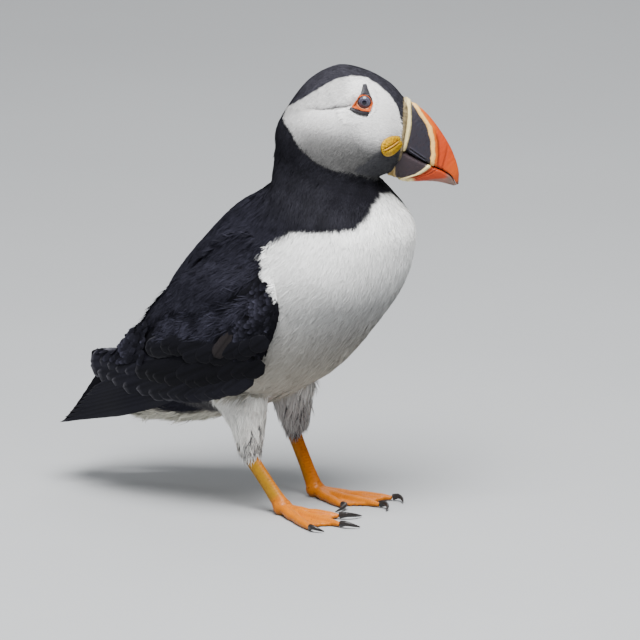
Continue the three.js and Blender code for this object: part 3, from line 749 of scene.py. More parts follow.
def bill_marks_lower(x, z):
    """Height of the relief in mm and the colour at points of the lower bill."""
    p = np.stack([x, 0 * x, z], -1)
    ridge_x = np.interp(z, [157.0, 158.8, 160, 162, 164.5], [30.5, 35.5, 39.3, 42.3, 45.2])
    ahead = 0.62 * (x - ridge_x)  # ahead of the pale ridge
    rear = np.interp(z, [156, 160, 168], [29.8, 28.3, 28.4])
    lift = 0.5 * band(ahead, 0, 0.8) + 0.5 * band(x, rear, 0.9)
    lift -= 0.35 * band(ahead, 2.0, 0.45) + 0.25 * band(ahead, 3.6, 0.45)
    lift += 0.05 * noise(p, 2.0, 25)
    outer = mix(plain(RED * 1.05, len(p)), ORANGE, 0.6 * fall(ahead, 0.9, 2.0))
    # Painted shade in the grooves.
    outer = mix(outer, RED * 0.4, 0.8 * band(ahead, 2.0, 0.4) + 0.5 * band(ahead, 3.6, 0.4))
    under = smooth(157.2 - z + 0.10 * (x - 45), -0.5, 0.7) * smooth(x, 43, 46)
    outer = mix(outer, FLESH, 0.8 * under)
    outer = mix(outer, FLESH * 0.8, smooth(x, 51.5, 54.5))
    col = mix(plain(CHARCOAL * np.array([1.5, 1.15, 1.0]), len(p)), outer, smooth(ahead, 0.5, 1.2))
    low = smooth(157.9 - z, -0.6, 0.6) * fall(x, 36, 39)
    col = mix(col, PALE_YELLOW, np.maximum(low, fall(np.abs(ahead), 0.55, 0.95)))
    return lift, mix(col, PALE_YELLOW * np.array([0.62, 0.52, 0.42]), smooth(rear + 0.6 - x, -0.4, 0.3))


def make_bill(name, node, slot, grid, marks):
    lift, col = marks(grid[..., 0].ravel(), grid[..., 2].ravel())
    n = grid_normals(grid)
    side = smooth(np.abs(n[..., 1]), 0.1, 0.6)
    at_tip = smooth(np.arange(len(grid))[::-1] / len(grid), 0.0, 0.06)[:, None]
    lift = lift.reshape(side.shape) * (0.45 + 0.55 * side) * at_tip - 0.06
    edge = np.abs(grid[..., 2] - np.interp(grid[..., 0], *np.array(TOMIUM).T))
    lift -= 0.05 * fall(edge, 0, 0.7) * side
    # Painted shade along the mouth line between the two halves of the bill.
    col = mix(col, col * 0.5, 0.25 * fall(edge.ravel(), 0.1, 0.35))
    pts, tris = closed_loft(turn_head(grid + n * lift[..., None]))
    dress(new_mesh(name, pts, tris, np.vstack([col, col[0], col[-1]]), material=HORN), slot, node)


upper_grid = bill_grid(CULMEN, TOMIUM, UPPER_HALF, 0.38, -1)
lower_grid = bill_grid(LOWER_TOP, GONYS, LOWER_HALF, -0.3, 1)
make_bill("bill_above", "upper_bill", "bill_upper", upper_grid, bill_marks_upper)
make_bill("bill_below", "lower_bill", "bill_lower", lower_grid, bill_marks_lower)

# ------------------------------------------------------------------ legs, feet and claws
LEG_ORANGE = np.array([0.50, 0.140, 0.0])
LEG_SHADE_YELLOW = np.array([0.30, 0.165, 0.004])
LEG_GROOVE_SHADE = LEG_ORANGE * np.array([0.55, 0.42, 0.4])
NAIL_BLACK = np.array([0.012, 0.0105, 0.0105])


def leg_marks(co, n, word, leg):
    """Height of the relief in mm and the colour at points of a leg: scutes, scales, toe ribs and webs, with
    painted shade in grooves, folds and undersides and painted light on the webs' ridges.
    """
    ankle, joint = np.array(leg["ankle"], float), np.array(leg["joint"], float)
    axis = unit(ankle - joint)
    up = (co - joint) @ axis
    front = unit(np.cross(np.array([0, 1.0, 0]), axis))
    fore = n @ (front if front[0] > 0 else -front)
    shank, before = smooth(up, 3.5, 7), smooth(fore, -0.1, 0.5)
    scute = np.abs(np.sin(np.pi * (up + 0.6 * fore) / 1.4))
    lift = -0.12 * (1 - smooth(scute, 0.0, 0.45)) * shank * before
    lift += 0.10 * smooth(np.abs(noise(co, 1.5, 31)), 0.05, 0.4) * shank * (1 - before) - 0.05
    col = mottled(LEG_ORANGE, co, 0.10, 9, 32)
    # Painted shade in the grooves between the scutes.
    col = mix(col, LEG_GROOVE_SHADE, 0.65 * (1 - smooth(scute, 0.0, 0.5)) * shank * before)
    # Painted shade: the back of each shank turns a darker yellow-olive, more on the right leg.
    yellow = 0.9 * fall(fore, 0.3, 1.3) if word == "right" else 0.5 * fall(fore, -0.6, 0.3)
    col = mix(col, LEG_SHADE_YELLOW, yellow * shank)
    flat = co[:, :2] - joint[:2]
    reach = np.linalg.norm(flat, axis=1)
    way = np.degrees(np.arctan2(flat[:, 1], flat[:, 0]))
    foot = 1 - smooth(up, 3.0, 6.0)
    nearest = np.full(len(co), 9.0)
    for toe_way in map(math.radians, leg["toes"].values()):
        across = -flat[:, 0] * math.sin(toe_way) + flat[:, 1] * math.cos(toe_way)
        along = flat[:, 0] * math.cos(toe_way) + flat[:, 1] * math.sin(toe_way)
        off = np.where(along < -2, 9, np.abs(across))
        nearest = np.minimum(nearest, off)
        rib = np.abs(np.sin(np.pi * along / 1.25 + 0.3 * across))
        here = fall(off, 1.6, 2.6) * foot * smooth(n[:, 2], 0.1, 0.5) * (along > 2)
        lift -= 0.10 * (1 - smooth(rib, 0.0, 0.45)) * here
        # Painted shade in the grooves between the toe's ribs.
        col = mix(col, LEG_GROOVE_SHADE, 0.6 * (1 - smooth(rib, 0, 0.5)) * here)
    web = smooth(nearest, 2.2, 3.4) * foot * (reach > 3)
    fan = np.sin(way * 1.3 + 1.2 * noise(co, 7, 33)) * smooth(reach, 6, 18)
    lift += web * (0.16 * fan + 0.05 * np.sin(reach * 3.1 + 2.2 * noise(co, 5, 34)))
    # Painted shade in the webs' folds and painted light on their ridges.
    col = mix(col, LEG_ORANGE * np.array([0.86, 0.72, 0.6]), 0.7 * web * fall(fan, -1.0, 0.0))
    col = mix(col, LEG_ORANGE * np.array([1.05, 1.15, 1.2]), 0.35 * web * smooth(fan, 0.2, 1.0))
    speck = smooth(noise(co, 2.1, 35), 0.66, 0.80)
    col = mix(col, np.array([0.07, 0.025, 0.008]), 0.8 * speck * (web + 0.5 * shank))
    # Painted shade on the undersides of the feet.
    return lift, mix(col, np.array([0.22, 0.13, 0.05]), 0.6 * fall(n[:, 2], -0.9, -0.4) * foot)


def make_leg(word, leg):
    nodes = ["tarsus_" + word, "foot_" + word]
    obj = remade_nodes("leg_" + word, nodes, voxel_mm=0.42, smooth_times=5, material=LEG)
    co, n = co_of(obj), normals_of(obj)
    lift, col = leg_marks(co, n, word, leg)
    co = co + n * lift[:, None]
    co[:, 2] = np.maximum(co[:, 2], 0.02)
    set_co(obj, co)
    set_tint(obj.data, col)
    dress(obj, "leg_skin", *nodes)


def make_claw(node):
    name = node.replace("claw", "nail")
    obj = remade_nodes(name, [node], voxel_mm=0.22, smooth_times=3, material=CLAW)
    set_tint(obj.data, mottled(NAIL_BLACK, co_of(obj), 0.5, 2.5, 41))
    dress(obj, "claw_horn", node)


for word, leg in LEGS.items():
    make_leg(word, leg)
    for toe in leg["toes"]:
        make_claw(f"claw_{word}_{toe}")

# ------------------------------------------------------------------ plumage: places, tufts and vanes
UV_PATCH = 0.003  # size of one tuft's patch in the bake layout
BLADE = np.array([(0.0, -0.5), (0.0, 0.5), (0.42, -0.42), (0.42, 0.42), (1.0, 0.0)])  # along, across
BLADE_TRIS = np.array([(0, 1, 3), (0, 3, 2), (2, 3, 4)])
VANE_ROWS = [(0.0, 0.30), (0.28, 0.86), (0.60, 1.0), (0.86, 0.66)]  # along, width
VANE = np.array([(t, w * k / 2) for t, w in VANE_ROWS for k in (-1, 0, 1)] + [(1.0, 0.0)])
VANE_CELLS = [3 * row + k for row in range(3) for k in range(2)]
VANE_HALVES = [half for c in VANE_CELLS for half in ((c, c + 1, c + 4), (c, c + 4, c + 3))]
VANE_TRIS = np.array(VANE_HALVES + [(9, 10, 12), (10, 11, 12)])
THIGH_Z = (26, 30, 41, 60)
THIGH_X = (-32.3, -33, -34.5, -42)
THIGH_DEEP = (4.6, 6.2, 10.3, 20)
THIGH_WIDE = (4.2, 5.6, 8.8, 13.5)


class Spots:
    """Places where plumage grows, as fields of equal length: p the points, n the ways outward, lie the ways
    the plumage points, and for some s the stations, a the angles, size, tint, uv and the markings."""

    def __init__(self, **fields):
        self.__dict__.update(fields)

    def __getitem__(self, k):
        return Spots(**{name: field[k] for name, field in vars(self).items()})

    def mark(self):
        self.tint, self.white, self.face, self.rim = markings(self.p, self.s)
        self.uv = np.stack([self.a / (2 * np.pi) + 0.5, self.s / LAST], 1) * 0.98 + 0.005
        return self


def spread(co, tris, spacing, gen):
    """Points spread over triangles about spacing apart, and the triangle each stands on."""
    a, b, c = co[tris[:, 0]], co[tris[:, 1]], co[tris[:, 2]]
    area = np.linalg.norm(np.cross(b - a, c - a), axis=1) / 2
    count = int(area.sum() / spacing**2 * 2.4)
    pick = gen.choice(len(tris), count, p=area / area.sum())
    u, v = gen.random(count), gen.random(count)
    over = u + v > 1
    u, v = np.where(over, 1 - u, u), np.where(over, 1 - v, v)
    p = a[pick] + (b - a)[pick] * u[:, None] + (c - a)[pick] * v[:, None]
    cell = np.floor(p / spacing + gen.random(3)).astype(np.int64)
    key = (cell[:, 0] * 73856093) ^ (cell[:, 1] * 19349663) ^ (cell[:, 2] * 83492791)
    first = np.sort(np.unique(key, return_index=True)[1])
    return p[first], pick[first]


def plumes(name, slot, spots, wide, gen, shape="blade", stretch=1.0, fan=0.2, rise=0.14, radius=44.0,
           sink=0.1, material=PLUME, strands=3, root_shade_tip_light=(0.6, 1.35), run=(0.0, 0.6), ruffle=0.05, curl=0.0,
           vary=0.07):
    """One joined mesh of tufts: each is a few narrow blades, or one broad vane, that lies along the coat.
    wide is the width and stretch the length by the spots' size; each tuft runs from painted shade at its root
    to painted highlight at its tip, along run."""
    template, faces = (BLADE, BLADE_TRIS) if shape == "blade" else (VANE, VANE_TRIS)
    strands = strands if shape == "blade" else 1
    across = unit(np.cross(spots.n, spots.lie))
    lie = unit(np.cross(across, spots.n))
    rep = np.repeat(np.arange(len(spots.p)), strands)
    across, normal, count = across[rep], spots.n[rep], len(rep)
    turn = gen.normal(0, fan, count)
    length = (spots.size * stretch)[rep][:, None] * gen.uniform(0.78, 1.15, count)[:, None]
    width = (wide * spots.size)[rep][:, None] * gen.uniform(0.8, 1.2, count)[:, None]
    along = lie[rep] * np.cos(turn)[:, None] + across * np.sin(turn)[:, None]
    start = spots.p[rep] + across * gen.normal(0, 0.28, count)[:, None] * width * (strands > 1)
    t, w = template[None, :, 0], template[None, :, 1]
    lift = (np.broadcast_to(rise, len(spots.p))[rep] * (1 + ruffle * 4 * gen.normal(0, 1, count)))[:, None]
    up = -sink + length * lift * t * (1.35 - 0.55 * t) - (length * t) ** 2 / (2 * radius)
    roll = gen.normal(0, 0.25, count)[:, None]
    up = up + (0.10 * width * (1 - (2 * w) ** 2) if shape == "vane" else roll * width * w)
    aside = width * w + curl * gen.normal(0, 1, count)[:, None] * length * t**2
    p = start[:, None] + along[:, None] * (length * t)[..., None]
    p = p + np.cross(normal, along)[:, None] * aside[..., None] + normal[:, None] * up[..., None]
    # painted shade at the root and painted highlight at the tip, times a random tone
    shade = gen.normal(1, vary, count)[:, None] * (root_shade_tip_light[0] + (root_shade_tip_light[1] - root_shade_tip_light[0]) * smooth(t, *run))
    tint = spots.tint[rep][:, None] * shade[..., None]
    patch = np.stack([w + 0.5, t], -1) * UV_PATCH * np.array([0.8, 0.95])
    uv = np.clip(spots.uv[rep], 0.002, 0.994)[:, None] + patch
    tris = faces + (np.arange(count) * len(template))[:, None, None]
    flat = [q.reshape(-1, q.shape[-1]) for q in (p, tris, tint, uv)]
    dress(new_mesh(name, *flat, material), slot)


# ------------------------------------------------------------------ wing cores
SHOULDER_Z = [105, 112, 119, 129, 133, 140]  # the breast's white lies over the wing ahead of this line
SHOULDER_X = [-2.0, -8.4, -13.1, -12.4, -11.0, -8.0]
SCAPULAR_X = [-110, -95, -84, -73, -61, -43.4, -29, -14.4, -8]
SCAPULAR_Z = [80, 80, 82, 87, 93.4, 96.3, 103, 117.5, 124]
WING_TUCK = 1.9  # how far the wing stands off the skin at the shoulder
WING_UNDER_BLACK = (0.006, 0.006, 0.008)


def scapular_edge(x):
    """Height of the scapulars' lower edge along the folded wing."""
    return np.interp(x, SCAPULAR_X, SCAPULAR_Z)


def shoulder_line(z):
    """The x ahead of which the wing is white at height z."""
    return np.interp(z, SHOULDER_Z, SHOULDER_X)


def shoulder_top(x):
    """The height below which the wing's front is white at x."""
    return np.interp(x, FLANK_X[-4:], FLANK_Z[-4:])


def make_wing_core(word):
    """The closed wing under its feathers, drawn in against the body at the shoulder."""
    name, node = "wing_core_" + word, "wing_" + word
    obj = remade_nodes(name, [node], voxel_mm=0.8, smooth_times=4, material=SKIN)
    co, n = co_of(obj), normals_of(obj)
    x, z, out = co[:, 0], co[:, 2], np.abs(n[:, 1])
    under = scapular_edge(x) - z
    bulge = 1.5 * smooth(z - scapular_edge(x), -0.5, 4) * smooth(out, 0.2, 0.6)
    notch = 2.4 * smooth(under, -1, 1) * (1 - smooth(under, 2.5, 6))
    notch = notch * smooth(x, -29, -21) * fall(x, -14, -10) * smooth(out, 0.3, 0.7)
    co = co + n * (bulge - notch - 0.7)[:, None]
    tuck = smooth(co[:, 0], -34, -14) * smooth(co[:, 2], 92, 118)
    tuck = np.maximum(tuck, smooth(co[:, 2], 106, 124))
    for i in np.flatnonzero(tuck > 0.01):
        near, _, _, far = skin_bvh.find_nearest(Vector(co[i]))
        over = far - WING_TUCK + 1.3 * smooth(co[i, 2], 110, 122)
        if over > 0:
            co[i] += (np.array(near) - co[i]) * (over / far) * tuck[i]
    set_co(obj, co)
    white = smooth(co[:, 0] - shoulder_line(co[:, 2]), -0.5, 0.5) * (co[:, 2] > 105)
    white = white * (co[:, 2] < shoulder_top(co[:, 0]))
    set_tint(obj.data, mix(plain(WING_UNDER_BLACK, len(co)), WHITE * 0.9, white))
    return dress(obj, "flight_feather", node)


cores = {word: make_wing_core(word) for word in SIDES}
core_bvh = {word: bvh_of(co_of(core), tris_of(core)) for word, core in cores.items()}


def wing_beside(p):
    return core_bvh["right" if p[1] < 0 else "left"]


def covered(p, n):
    """Whether a wing lies over each point of the skin."""
    hits = [wing_beside(q).ray_cast(Vector(q + w * 0.4), Vector(w), 7.0)[0] for q, w in zip(p, n)]
    return np.array([hit is not None for hit in hits])


def wing_distance(p, far=9.0):
    """How far points are from the nearer wing, up to a limit."""
    out = np.full(len(p), far)
    for i in np.flatnonzero((np.abs(p[:, 1]) > 20) & (p[:, 2] > 56)):
        found = wing_beside(p[i]).find_nearest(Vector(p[i]), far)
        if found[3] is not None:
            out[i] = found[3]
    return out


# ------------------------------------------------------------------ the coat of head, neck, trunk and thighs
def bare(p):
    """Where no plumage grows: the lids and plates, the gape and the bill's base."""
    h = unturn_head(p)
    side = np.abs(h[:, 1])
    x, z = h[:, 0], h[:, 2]
    dx, dz = x - EYE_MID[0], z - EYE_MID[2]
    eye = (np.hypot(dx, dz) < ring_reach(np.arctan2(dz, dx)) + 0.05) & (side > 8)
    gape = (np.hypot((x - ROSETTE_AT[0]) / 5.2, (z - ROSETTE_AT[1]) / 4.3) < 1) & (side > 4)
    return eye | gape | ((x > np.interp(z, FRONT_Z, FRONT_X)) & (z > 150))


def on_thigh(p):
    """Whether points of the skin are on a thigh."""
    z = p[:, 2]
    x = np.abs(p[:, 0] - np.interp(z, THIGH_Z, THIGH_X)) - np.interp(z, THIGH_Z, THIGH_DEEP)
    y = np.abs(np.abs(p[:, 1]) - 20.5) - np.interp(z, THIGH_Z, THIGH_WIDE)
    return (z < 57) & (x < 1.5) & (y < 1.5)


def skin_spots(spacing, gen):
    """Spots of the skin about spacing apart, away from bare places and from folds."""
    p, t = spread(skin_co, skin_tris, spacing, gen)
    n = unit(skin_normals[skin_tris[t]].mean(1))
    s, a, lie, out = place_on_body(p)
    h = unturn_head(p)
    by_eye = np.hypot(h[:, 0] - EYE_AT[0] + 3, h[:, 2] - EYE_AT[1])
    steady = (smooth(s, 9, 10.5) * smooth(by_eye, 7, 12))[:, None]
    n = unit(n * (1 - steady) + out * steady)
    keep = ~bare(p) & ((np.abs(np.sum(n * lie, 1)) < 0.5) | (s < 8.5))
    return Spots(p=p, n=n, s=s, a=a, lie=lie)[keep]


# Stations where the parts of the coat begin, from the tail forward, and how far apart their tufts stand.
BREAST_FROM, COLLAR_FROM, HEAD_FROM = 4.4, 7.6, 10.4
SPACING = dict(head=0.55, trunk=0.92, collar=0.78, undertail=1.5, mantle=2.6, thigh=0.85)


def grow_head(gen):
    """The fine plumage of the face and the crown."""
    spots = skin_spots(SPACING["head"], gen)
    spots = spots[spots.s > HEAD_FROM].mark()
    spots.size = (2.2 + 1.3 * fall(spots.s, 10.5, 15)) * (0.6 + 0.4 * smooth(spots.rim, 0.2, 2.2))
    right = spots.p[:, 1] < np.interp(spots.p[:, 0], [-1.6, 30], [0, 18.2])
    for name, half in (("coat_face_right", right), ("coat_face_left", ~right)):
        plumes(name, "plumage_head", spots[(spots.face > 0.5) & half], 0.085, gen, fan=0.16, rise=0.11,
               radius=24, material=PLUME_WHITE, strands=4, root_shade_tip_light=(0.82, 1.05), vary=0.08)
    plumes("coat_crown", "plumage_head", spots[spots.face <= 0.5], 0.10, gen, stretch=1.15, fan=0.16,
           rise=0.11, radius=24, root_shade_tip_light=(0.5, 1.45), vary=0.2)


def grow_trunk(gen):
    """The plumage of breast, belly and back, where no wing lies over it; it lifts beside the wings."""
    spots = skin_spots(SPACING["trunk"], gen)
    spots = spots[(spots.s <= HEAD_FROM) & (spots.s > 0.15)]
    spots = spots[~covered(spots.p, spots.n)].mark()
    spots.size = (4.0 + 3.0 * fall(spots.s, 6, 9.5)) * (0.7 + 0.3 * smooth(spots.rim, 0.5, 4))
    pale, trunk = spots.white > 0.5, ~on_thigh(spots.p)
    breast = spots[pale & trunk & (spots.s > BREAST_FROM)]
    plumes("coat_breast", "plumage_breast", breast, 0.070, gen,
           rise=0.155 + 0.10 * fall(wing_distance(breast.p), 1.5, 4.5),
           material=PLUME_WHITE, strands=4, root_shade_tip_light=(0.92, 1.0), curl=0.06, vary=0.045)
    plumes("coat_belly", "plumage_rump", spots[pale & trunk & (spots.s <= BREAST_FROM)], 0.09, gen,
           stretch=1.25, fan=0.28, radius=60, material=PLUME_WHITE, root_shade_tip_light=(0.9, 1.02), ruffle=0.12,
           curl=0.08)
    back = spots[~pale & trunk & (spots.s <= COLLAR_FROM)]
    plumes("coat_back", "plumage_rump", back, 0.11, gen,
           rise=0.15 + 0.16 * fall(wing_distance(back.p), 1.0, 4.5), vary=0.16)


def grow_collar(gen):
    """The dark plumage of the neck, which is shorter along its edges."""
    spots = skin_spots(SPACING["collar"], gen)
    spots = spots[(spots.s > COLLAR_FROM) & (spots.s <= HEAD_FROM)].mark()
    x, z = spots.p[:, 0], spots.p[:, 2]
    spots.size = (3.9 + 1.2 * fall(spots.s, 8, 10.4)) * (0.5 + 0.5 * smooth(spots.rim, 0.5, 5))
    spots.size = spots.size * (1 - 0.6 * smooth(z, 146, 153) * smooth(x, 8, 16))  # short in the throat's fold
    plumes("coat_collar", "plumage_neck", spots[spots.white <= 0.5], 0.10, gen, rise=0.12, radius=30,
           root_shade_tip_light=(0.6, 1.4), vary=0.14)


def grow_undertail(gen):
    """Loose pale tufts that hang below the tail's root and the hind flank."""
    spots = skin_spots(SPACING["undertail"], gen).mark()
    spots = spots[(spots.white > 0.5) & (spots.n[:, 2] < -0.05) & (spots.p[:, 0] < -54) & ~on_thigh(spots.p)]
    hang = fall(spots.n[:, 2], -0.6, 0.0)[:, None]
    spots.lie = unit(spots.lie * (1 - 0.6 * hang) + np.array([-0.6, 0, -0.8]) * 0.6 * hang)
    light = 0.75 + 0.35 * smooth(noise(spots.p, 6, 15), -0.6, 0.8)
    spots.tint = np.array([0.60, 0.58, 0.49]) * light[:, None]
    spots.size = 8 + 4.5 * smooth(noise(spots.p, 7, 16), -0.2, 0.9)
    plumes("coat_undertail", "plumage_rump", spots, 0.065, gen, fan=0.25, rise=0.26, radius=80,
           material=PLUME_WHITE, strands=5, root_shade_tip_light=(0.6, 1.15), ruffle=0.1, curl=0.10, vary=0.12)


def grow_back_vanes(gen):
    """Rounded contour feathers of the mantle, on the skin between the wings."""
    spots = skin_spots(SPACING["mantle"], gen)
    spots = spots[(spots.s > 0.6) & (spots.s < 6.9) & (np.abs(np.degrees(spots.a)) < 100)]
    spots = spots[~covered(spots.p, spots.n)].mark()
    spots.size = 5.5 + 3.0 * fall(spots.s, 4, 8)
    spots.tint = spots.tint * 1.1
    plumes("vanes_mantle", "plumage_rump", spots[spots.white < 0.5], 0.55, gen, shape="vane", fan=0.12,
           rise=0.07, sink=0.5, root_shade_tip_light=(0.7, 1.25), vary=0.12)


def thigh_tint(spots, side, low, gen):
    """White with black streaks, and painted shade on the left thigh's inner face; low is the height over the
    ankle.
    """
    p = spots.p
    fore = p[:, 0] - np.interp(p[:, 2], THIGH_Z, THIGH_X)
    streak = smooth(noise(p * np.array([1, 1, 0.16]), 4.2, 51), 0.0, 0.7)
    base = WHITE * (0.80 + 0.12 * noise(p, 5, 52))[:, None] * np.array([1.0, 0.985, 0.95])
    dark = (0.25 + 0.75 * streak) * smooth(fore, 1, 5) * fall(low, 14, 26)
    dark = np.maximum(dark, (0.35 + 0.6 * streak) * fall(fore, -8, -5) * smooth(low, 6, 12))
    dark = np.maximum(dark, (0.45 + 0.5 * streak) * fall(low, 3, 11))
    dark = dark * np.where(side > 0, 0.6, 1.0)
    line = np.abs((p[:, 0] + 56) * 0.73 + (p[:, 2] - 53) * 0.68)  # the black streak down the hind thigh
    dark = np.maximum(dark, 0.9 * fall(line, 1.0, 3.5) * smooth(p[:, 2], 33, 38))
    black = 0.9 * (gen.random(len(p)) < 0.75 * dark)
    black = np.where(spots.white < 0.5, 0.96, np.maximum(black, 0.35 * dark))
    # Painted shade: the left thigh is darker on its inner face, which turns away from the light.
    inner = 0.55 * (side > 0) * fall(spots.n[:, 1], -0.3, 0.5) * fall(low, 14, 30)
    return mix(mix(base, np.array([0.20, 0.185, 0.195]), inner), np.array([0.030, 0.029, 0.034]), black)


def grow_thighs(gen):
    """The thighs' long loose feathers, which point at the ankles."""
    spots = skin_spots(SPACING["thigh"], gen)
    spots = spots[on_thigh(spots.p) & (spots.s < 9)].mark()
    side = np.where(spots.p[:, 1] < 0, -1, 1)
    ankle = np.array([LEGS["right"]["ankle"], LEGS["left"]["ankle"]], float)[(side > 0).astype(int)]
    low = spots.p[:, 2] - ankle[:, 2]
    down = unit(ankle - np.array([0, 0, 7.0]) - spots.p)
    spots.lie = unit(mix(spots.lie, down, fall(spots.p[:, 2], 50, 62)))
    spots.tint = thigh_tint(spots, side, low, gen)
    spots.size = (6.0 + 5.5 * smooth(low, 2, 16)) * (1 - 0.3 * smooth(spots.p[:, 2], 46, 56))
    plumes("coat_thighs", "plumage_thigh", spots, 0.055, gen, fan=0.16, rise=0.10 + 0.26 * fall(low, 4, 13),
           radius=60, material=PLUME_WHITE, strands=5, root_shade_tip_light=(0.7, 1.1), ruffle=0.12, curl=0.08, vary=0.12)


body_gen = np.random.default_rng(11)
for grow in (grow_head, grow_trunk, grow_collar):
    grow(body_gen)
grow_undertail(np.random.default_rng(14))
grow_back_vanes(np.random.default_rng(12))
grow_thighs(np.random.default_rng(13))

# ------------------------------------------------------------------ flight feathers
WING_BOX = (-142.0, 2.0, 24.0, 138.0)  # x from and to, z from and to
WING_CELL = 2.0
F_ROWS, F_COLS = 22, 9
F_COUNT = F_ROWS * F_COLS
F_ALONG = np.linspace(0, 1, F_ROWS)[:, None]  # places along a feather and across it
F_ACROSS = np.linspace(-1, 1, F_COLS)[None, :]
EACH_ALONG, EACH_ACROSS = (q.ravel() for q in np.broadcast_arrays(F_ALONG, F_ACROSS))
THIN = 0.22  # thickness of a feather
FLIGHT_BLACK = np.array([0.0090, 0.0089, 0.0130])
FRINGE = np.array([0.125, 0.122, 0.140])


def neighbours(field, **edge):
    """A field and its eight shifts by one cell."""
    wide = np.pad(field, 1, **edge)
    rows, cols = field.shape
    return [wide[i : i + rows, j : j + cols] for i in range(3) for j in range(3)]


def wing_height_field():
    """How far out the folded wing's outer face is, over a grid of x and z; both sides are alike."""
    xs = np.arange(WING_BOX[0], WING_BOX[1] + 0.1, WING_CELL)
    zs = np.arange(WING_BOX[2], WING_BOX[3] + 0.1, WING_CELL)
    field = np.full((len(xs), len(zs)), np.nan)
    for i, j in np.ndindex(field.shape):
        hit = core_bvh["right"].ray_cast(Vector((xs[i], -80, zs[j])), Vector((0, 1, 0)))[0]
        if hit is not None and hit.y < -8:
            field[i, j] = -hit.y
    while np.isnan(field).any():  # carried on outward past the wing's edge
        around = np.stack(neighbours(field, constant_values=np.nan))
        known = np.sum(~np.isnan(around), 0)
        mean = np.nansum(around, 0) / np.maximum(known, 1)
        field = np.where(np.isnan(field) & (known > 0), mean, field)
    for _ in range(2):
        field = sum(neighbours(field, mode="edge")) / 9
    return field


WING_FIELD = wing_height_field()


def wing_out(x, z):
    """How far out the wing's outer face is at places (x, z), from the field's four nearest values."""
    f = WING_FIELD
    u = np.clip((x - WING_BOX[0]) / WING_CELL, 0, f.shape[0] - 1.001)
    v = np.clip((z - WING_BOX[2]) / WING_CELL, 0, f.shape[1] - 1.001)
    i, j = u.astype(int), v.astype(int)
    fu, fv = u - i, v - j
    lower = f[i, j] * (1 - fu) + f[i + 1, j] * fu
    return lower * (1 - fv) + (f[i, j + 1] * (1 - fu) + f[i + 1, j + 1] * fu) * fv


def plate_quads():
    """Faces of a feather as a thin closed plate: its grid, the grid's copy beneath and the walls between."""
    faces = grid_faces(F_ROWS, F_COLS, wrap=False)
    rim = np.concatenate([np.arange(F_COLS), np.arange(1, F_ROWS) * F_COLS + F_COLS - 1,
                          F_COUNT - 1 - np.arange(1, F_COLS), (F_ROWS - 2 - np.arange(F_ROWS - 2)) * F_COLS])
    after = np.roll(rim, -1)
    walls = np.stack([rim, rim + F_COUNT, after + F_COUNT, after], 1)
    return np.vstack([faces, faces[:, ::-1] + F_COUNT, walls])


PLATE_QUADS = plate_quads()


def plate(grid, thickness):
    """Points and quads of a feather; thickness is a vector."""
    return np.vstack([grid.reshape(-1, 3), (grid - thickness).reshape(-1, 3)]), PLATE_QUADS


def vane_tint(tone, edge, weight, under):
    """A feather's colour above and beneath: the edge's colour by weight, dark along the shaft, and darker
    beneath by under, as painted shade.
    """
    col = mix(plain(tone, F_COUNT), edge, weight)
    col = mix(col, tone * 0.45, 0.7 * fall(np.abs(EACH_ACROSS), 0.03, 0.16))
    return np.vstack([col, col * under])


def feather_grid(root, tip, width, point, lift, root_share, gen):
    """A flight feather as a grid of (x, out, z): point is 0 for a round end and 1 for a sharp one."""
    t, w = F_ALONG, F_ACROSS
    length = np.linalg.norm(tip - root)
    axis = (tip - root) / length
    across = np.array([-axis[1], axis[0]])
    end = 0.55 * width / length
    round_end = np.sqrt(np.clip(1 - np.clip((t - (1 - end)) / end, 0, 1) ** 2, 0, 1))
    sharp_end = 1 - smooth(t, 0.45, 1.0) ** 1.2
    shape = (0.45 + 0.55 * smooth(t, 0, 0.35)) * ((1 - point) * round_end + point * sharp_end) + 0.012
    nick = gen.normal(0, 0.035, (F_ROWS, 2)) * smooth(t, 0.3, 0.9)
    w_nicked = w + np.where(w < 0, nick[:, :1], nick[:, 1:]) * np.abs(w) ** 3
    x = root[0] + axis[0] * length * t + across[0] * width / 2 * shape * w_nicked
    z = root[1] + axis[1] * length * t + across[1] * width / 2 * shape * w_nicked
    vault = 0.10 * width * shape * (1 - w**2) - 0.08 * width * shape
    return np.stack([x, wing_out(x, z) + lift * (root_share + (1 - root_share) * t) + vault, z], -1)


def feathers(name, specs, side, base, edge_tint, edge_share, seed, root_share=0.25):
    """A joined mesh of the wing's flight feathers. specs: (root, tip, width, point, lift)."""
    gen = np.random.default_rng(seed)
    plates, tints, uvs = [], [], []
    cells = math.ceil(math.sqrt(len(specs)))
    for i, (root, tip, width, point, lift) in enumerate(specs):
        grid = feather_grid(np.array(root, float), np.array(tip, float), width, point, lift, root_share, gen)
        plates.append(plate(grid, np.array([0, THIN, 0])))
        tone = base * gen.uniform(0.85, 1.2)
        fringe = np.maximum(smooth(np.abs(EACH_ACROSS), 1 - edge_share, 1.0), smooth(EACH_ALONG, 0.93, 1.0))
        rear = 0.12 + 0.88 * fall(tip[0], -90, -58)
        weight = 0.9 * rear * fringe * smooth(EACH_ALONG, 0.35, 0.8)
        tints.append(vane_tint(tone, edge_tint * gen.uniform(0.8, 1.2), weight, 0.7))
        patch = np.stack([(EACH_ACROSS + 1) / 2, EACH_ALONG], -1) * 0.9 + 0.04
        uvs += [(np.array([i % cells, i // cells]) + patch) / cells] * 2
    pts, quads = joined(plates)
    quads = quads[:, ::-1] if side < 0 else quads
    obj = new_mesh(name, pts * np.array([1, side, 1]), quads, np.vstack(tints), np.vstack(uvs), QUILL)
    dress(obj, "flight_feather")


def between(a, b, k):
    return np.array(a) * (1 - k) + np.array(b) * k


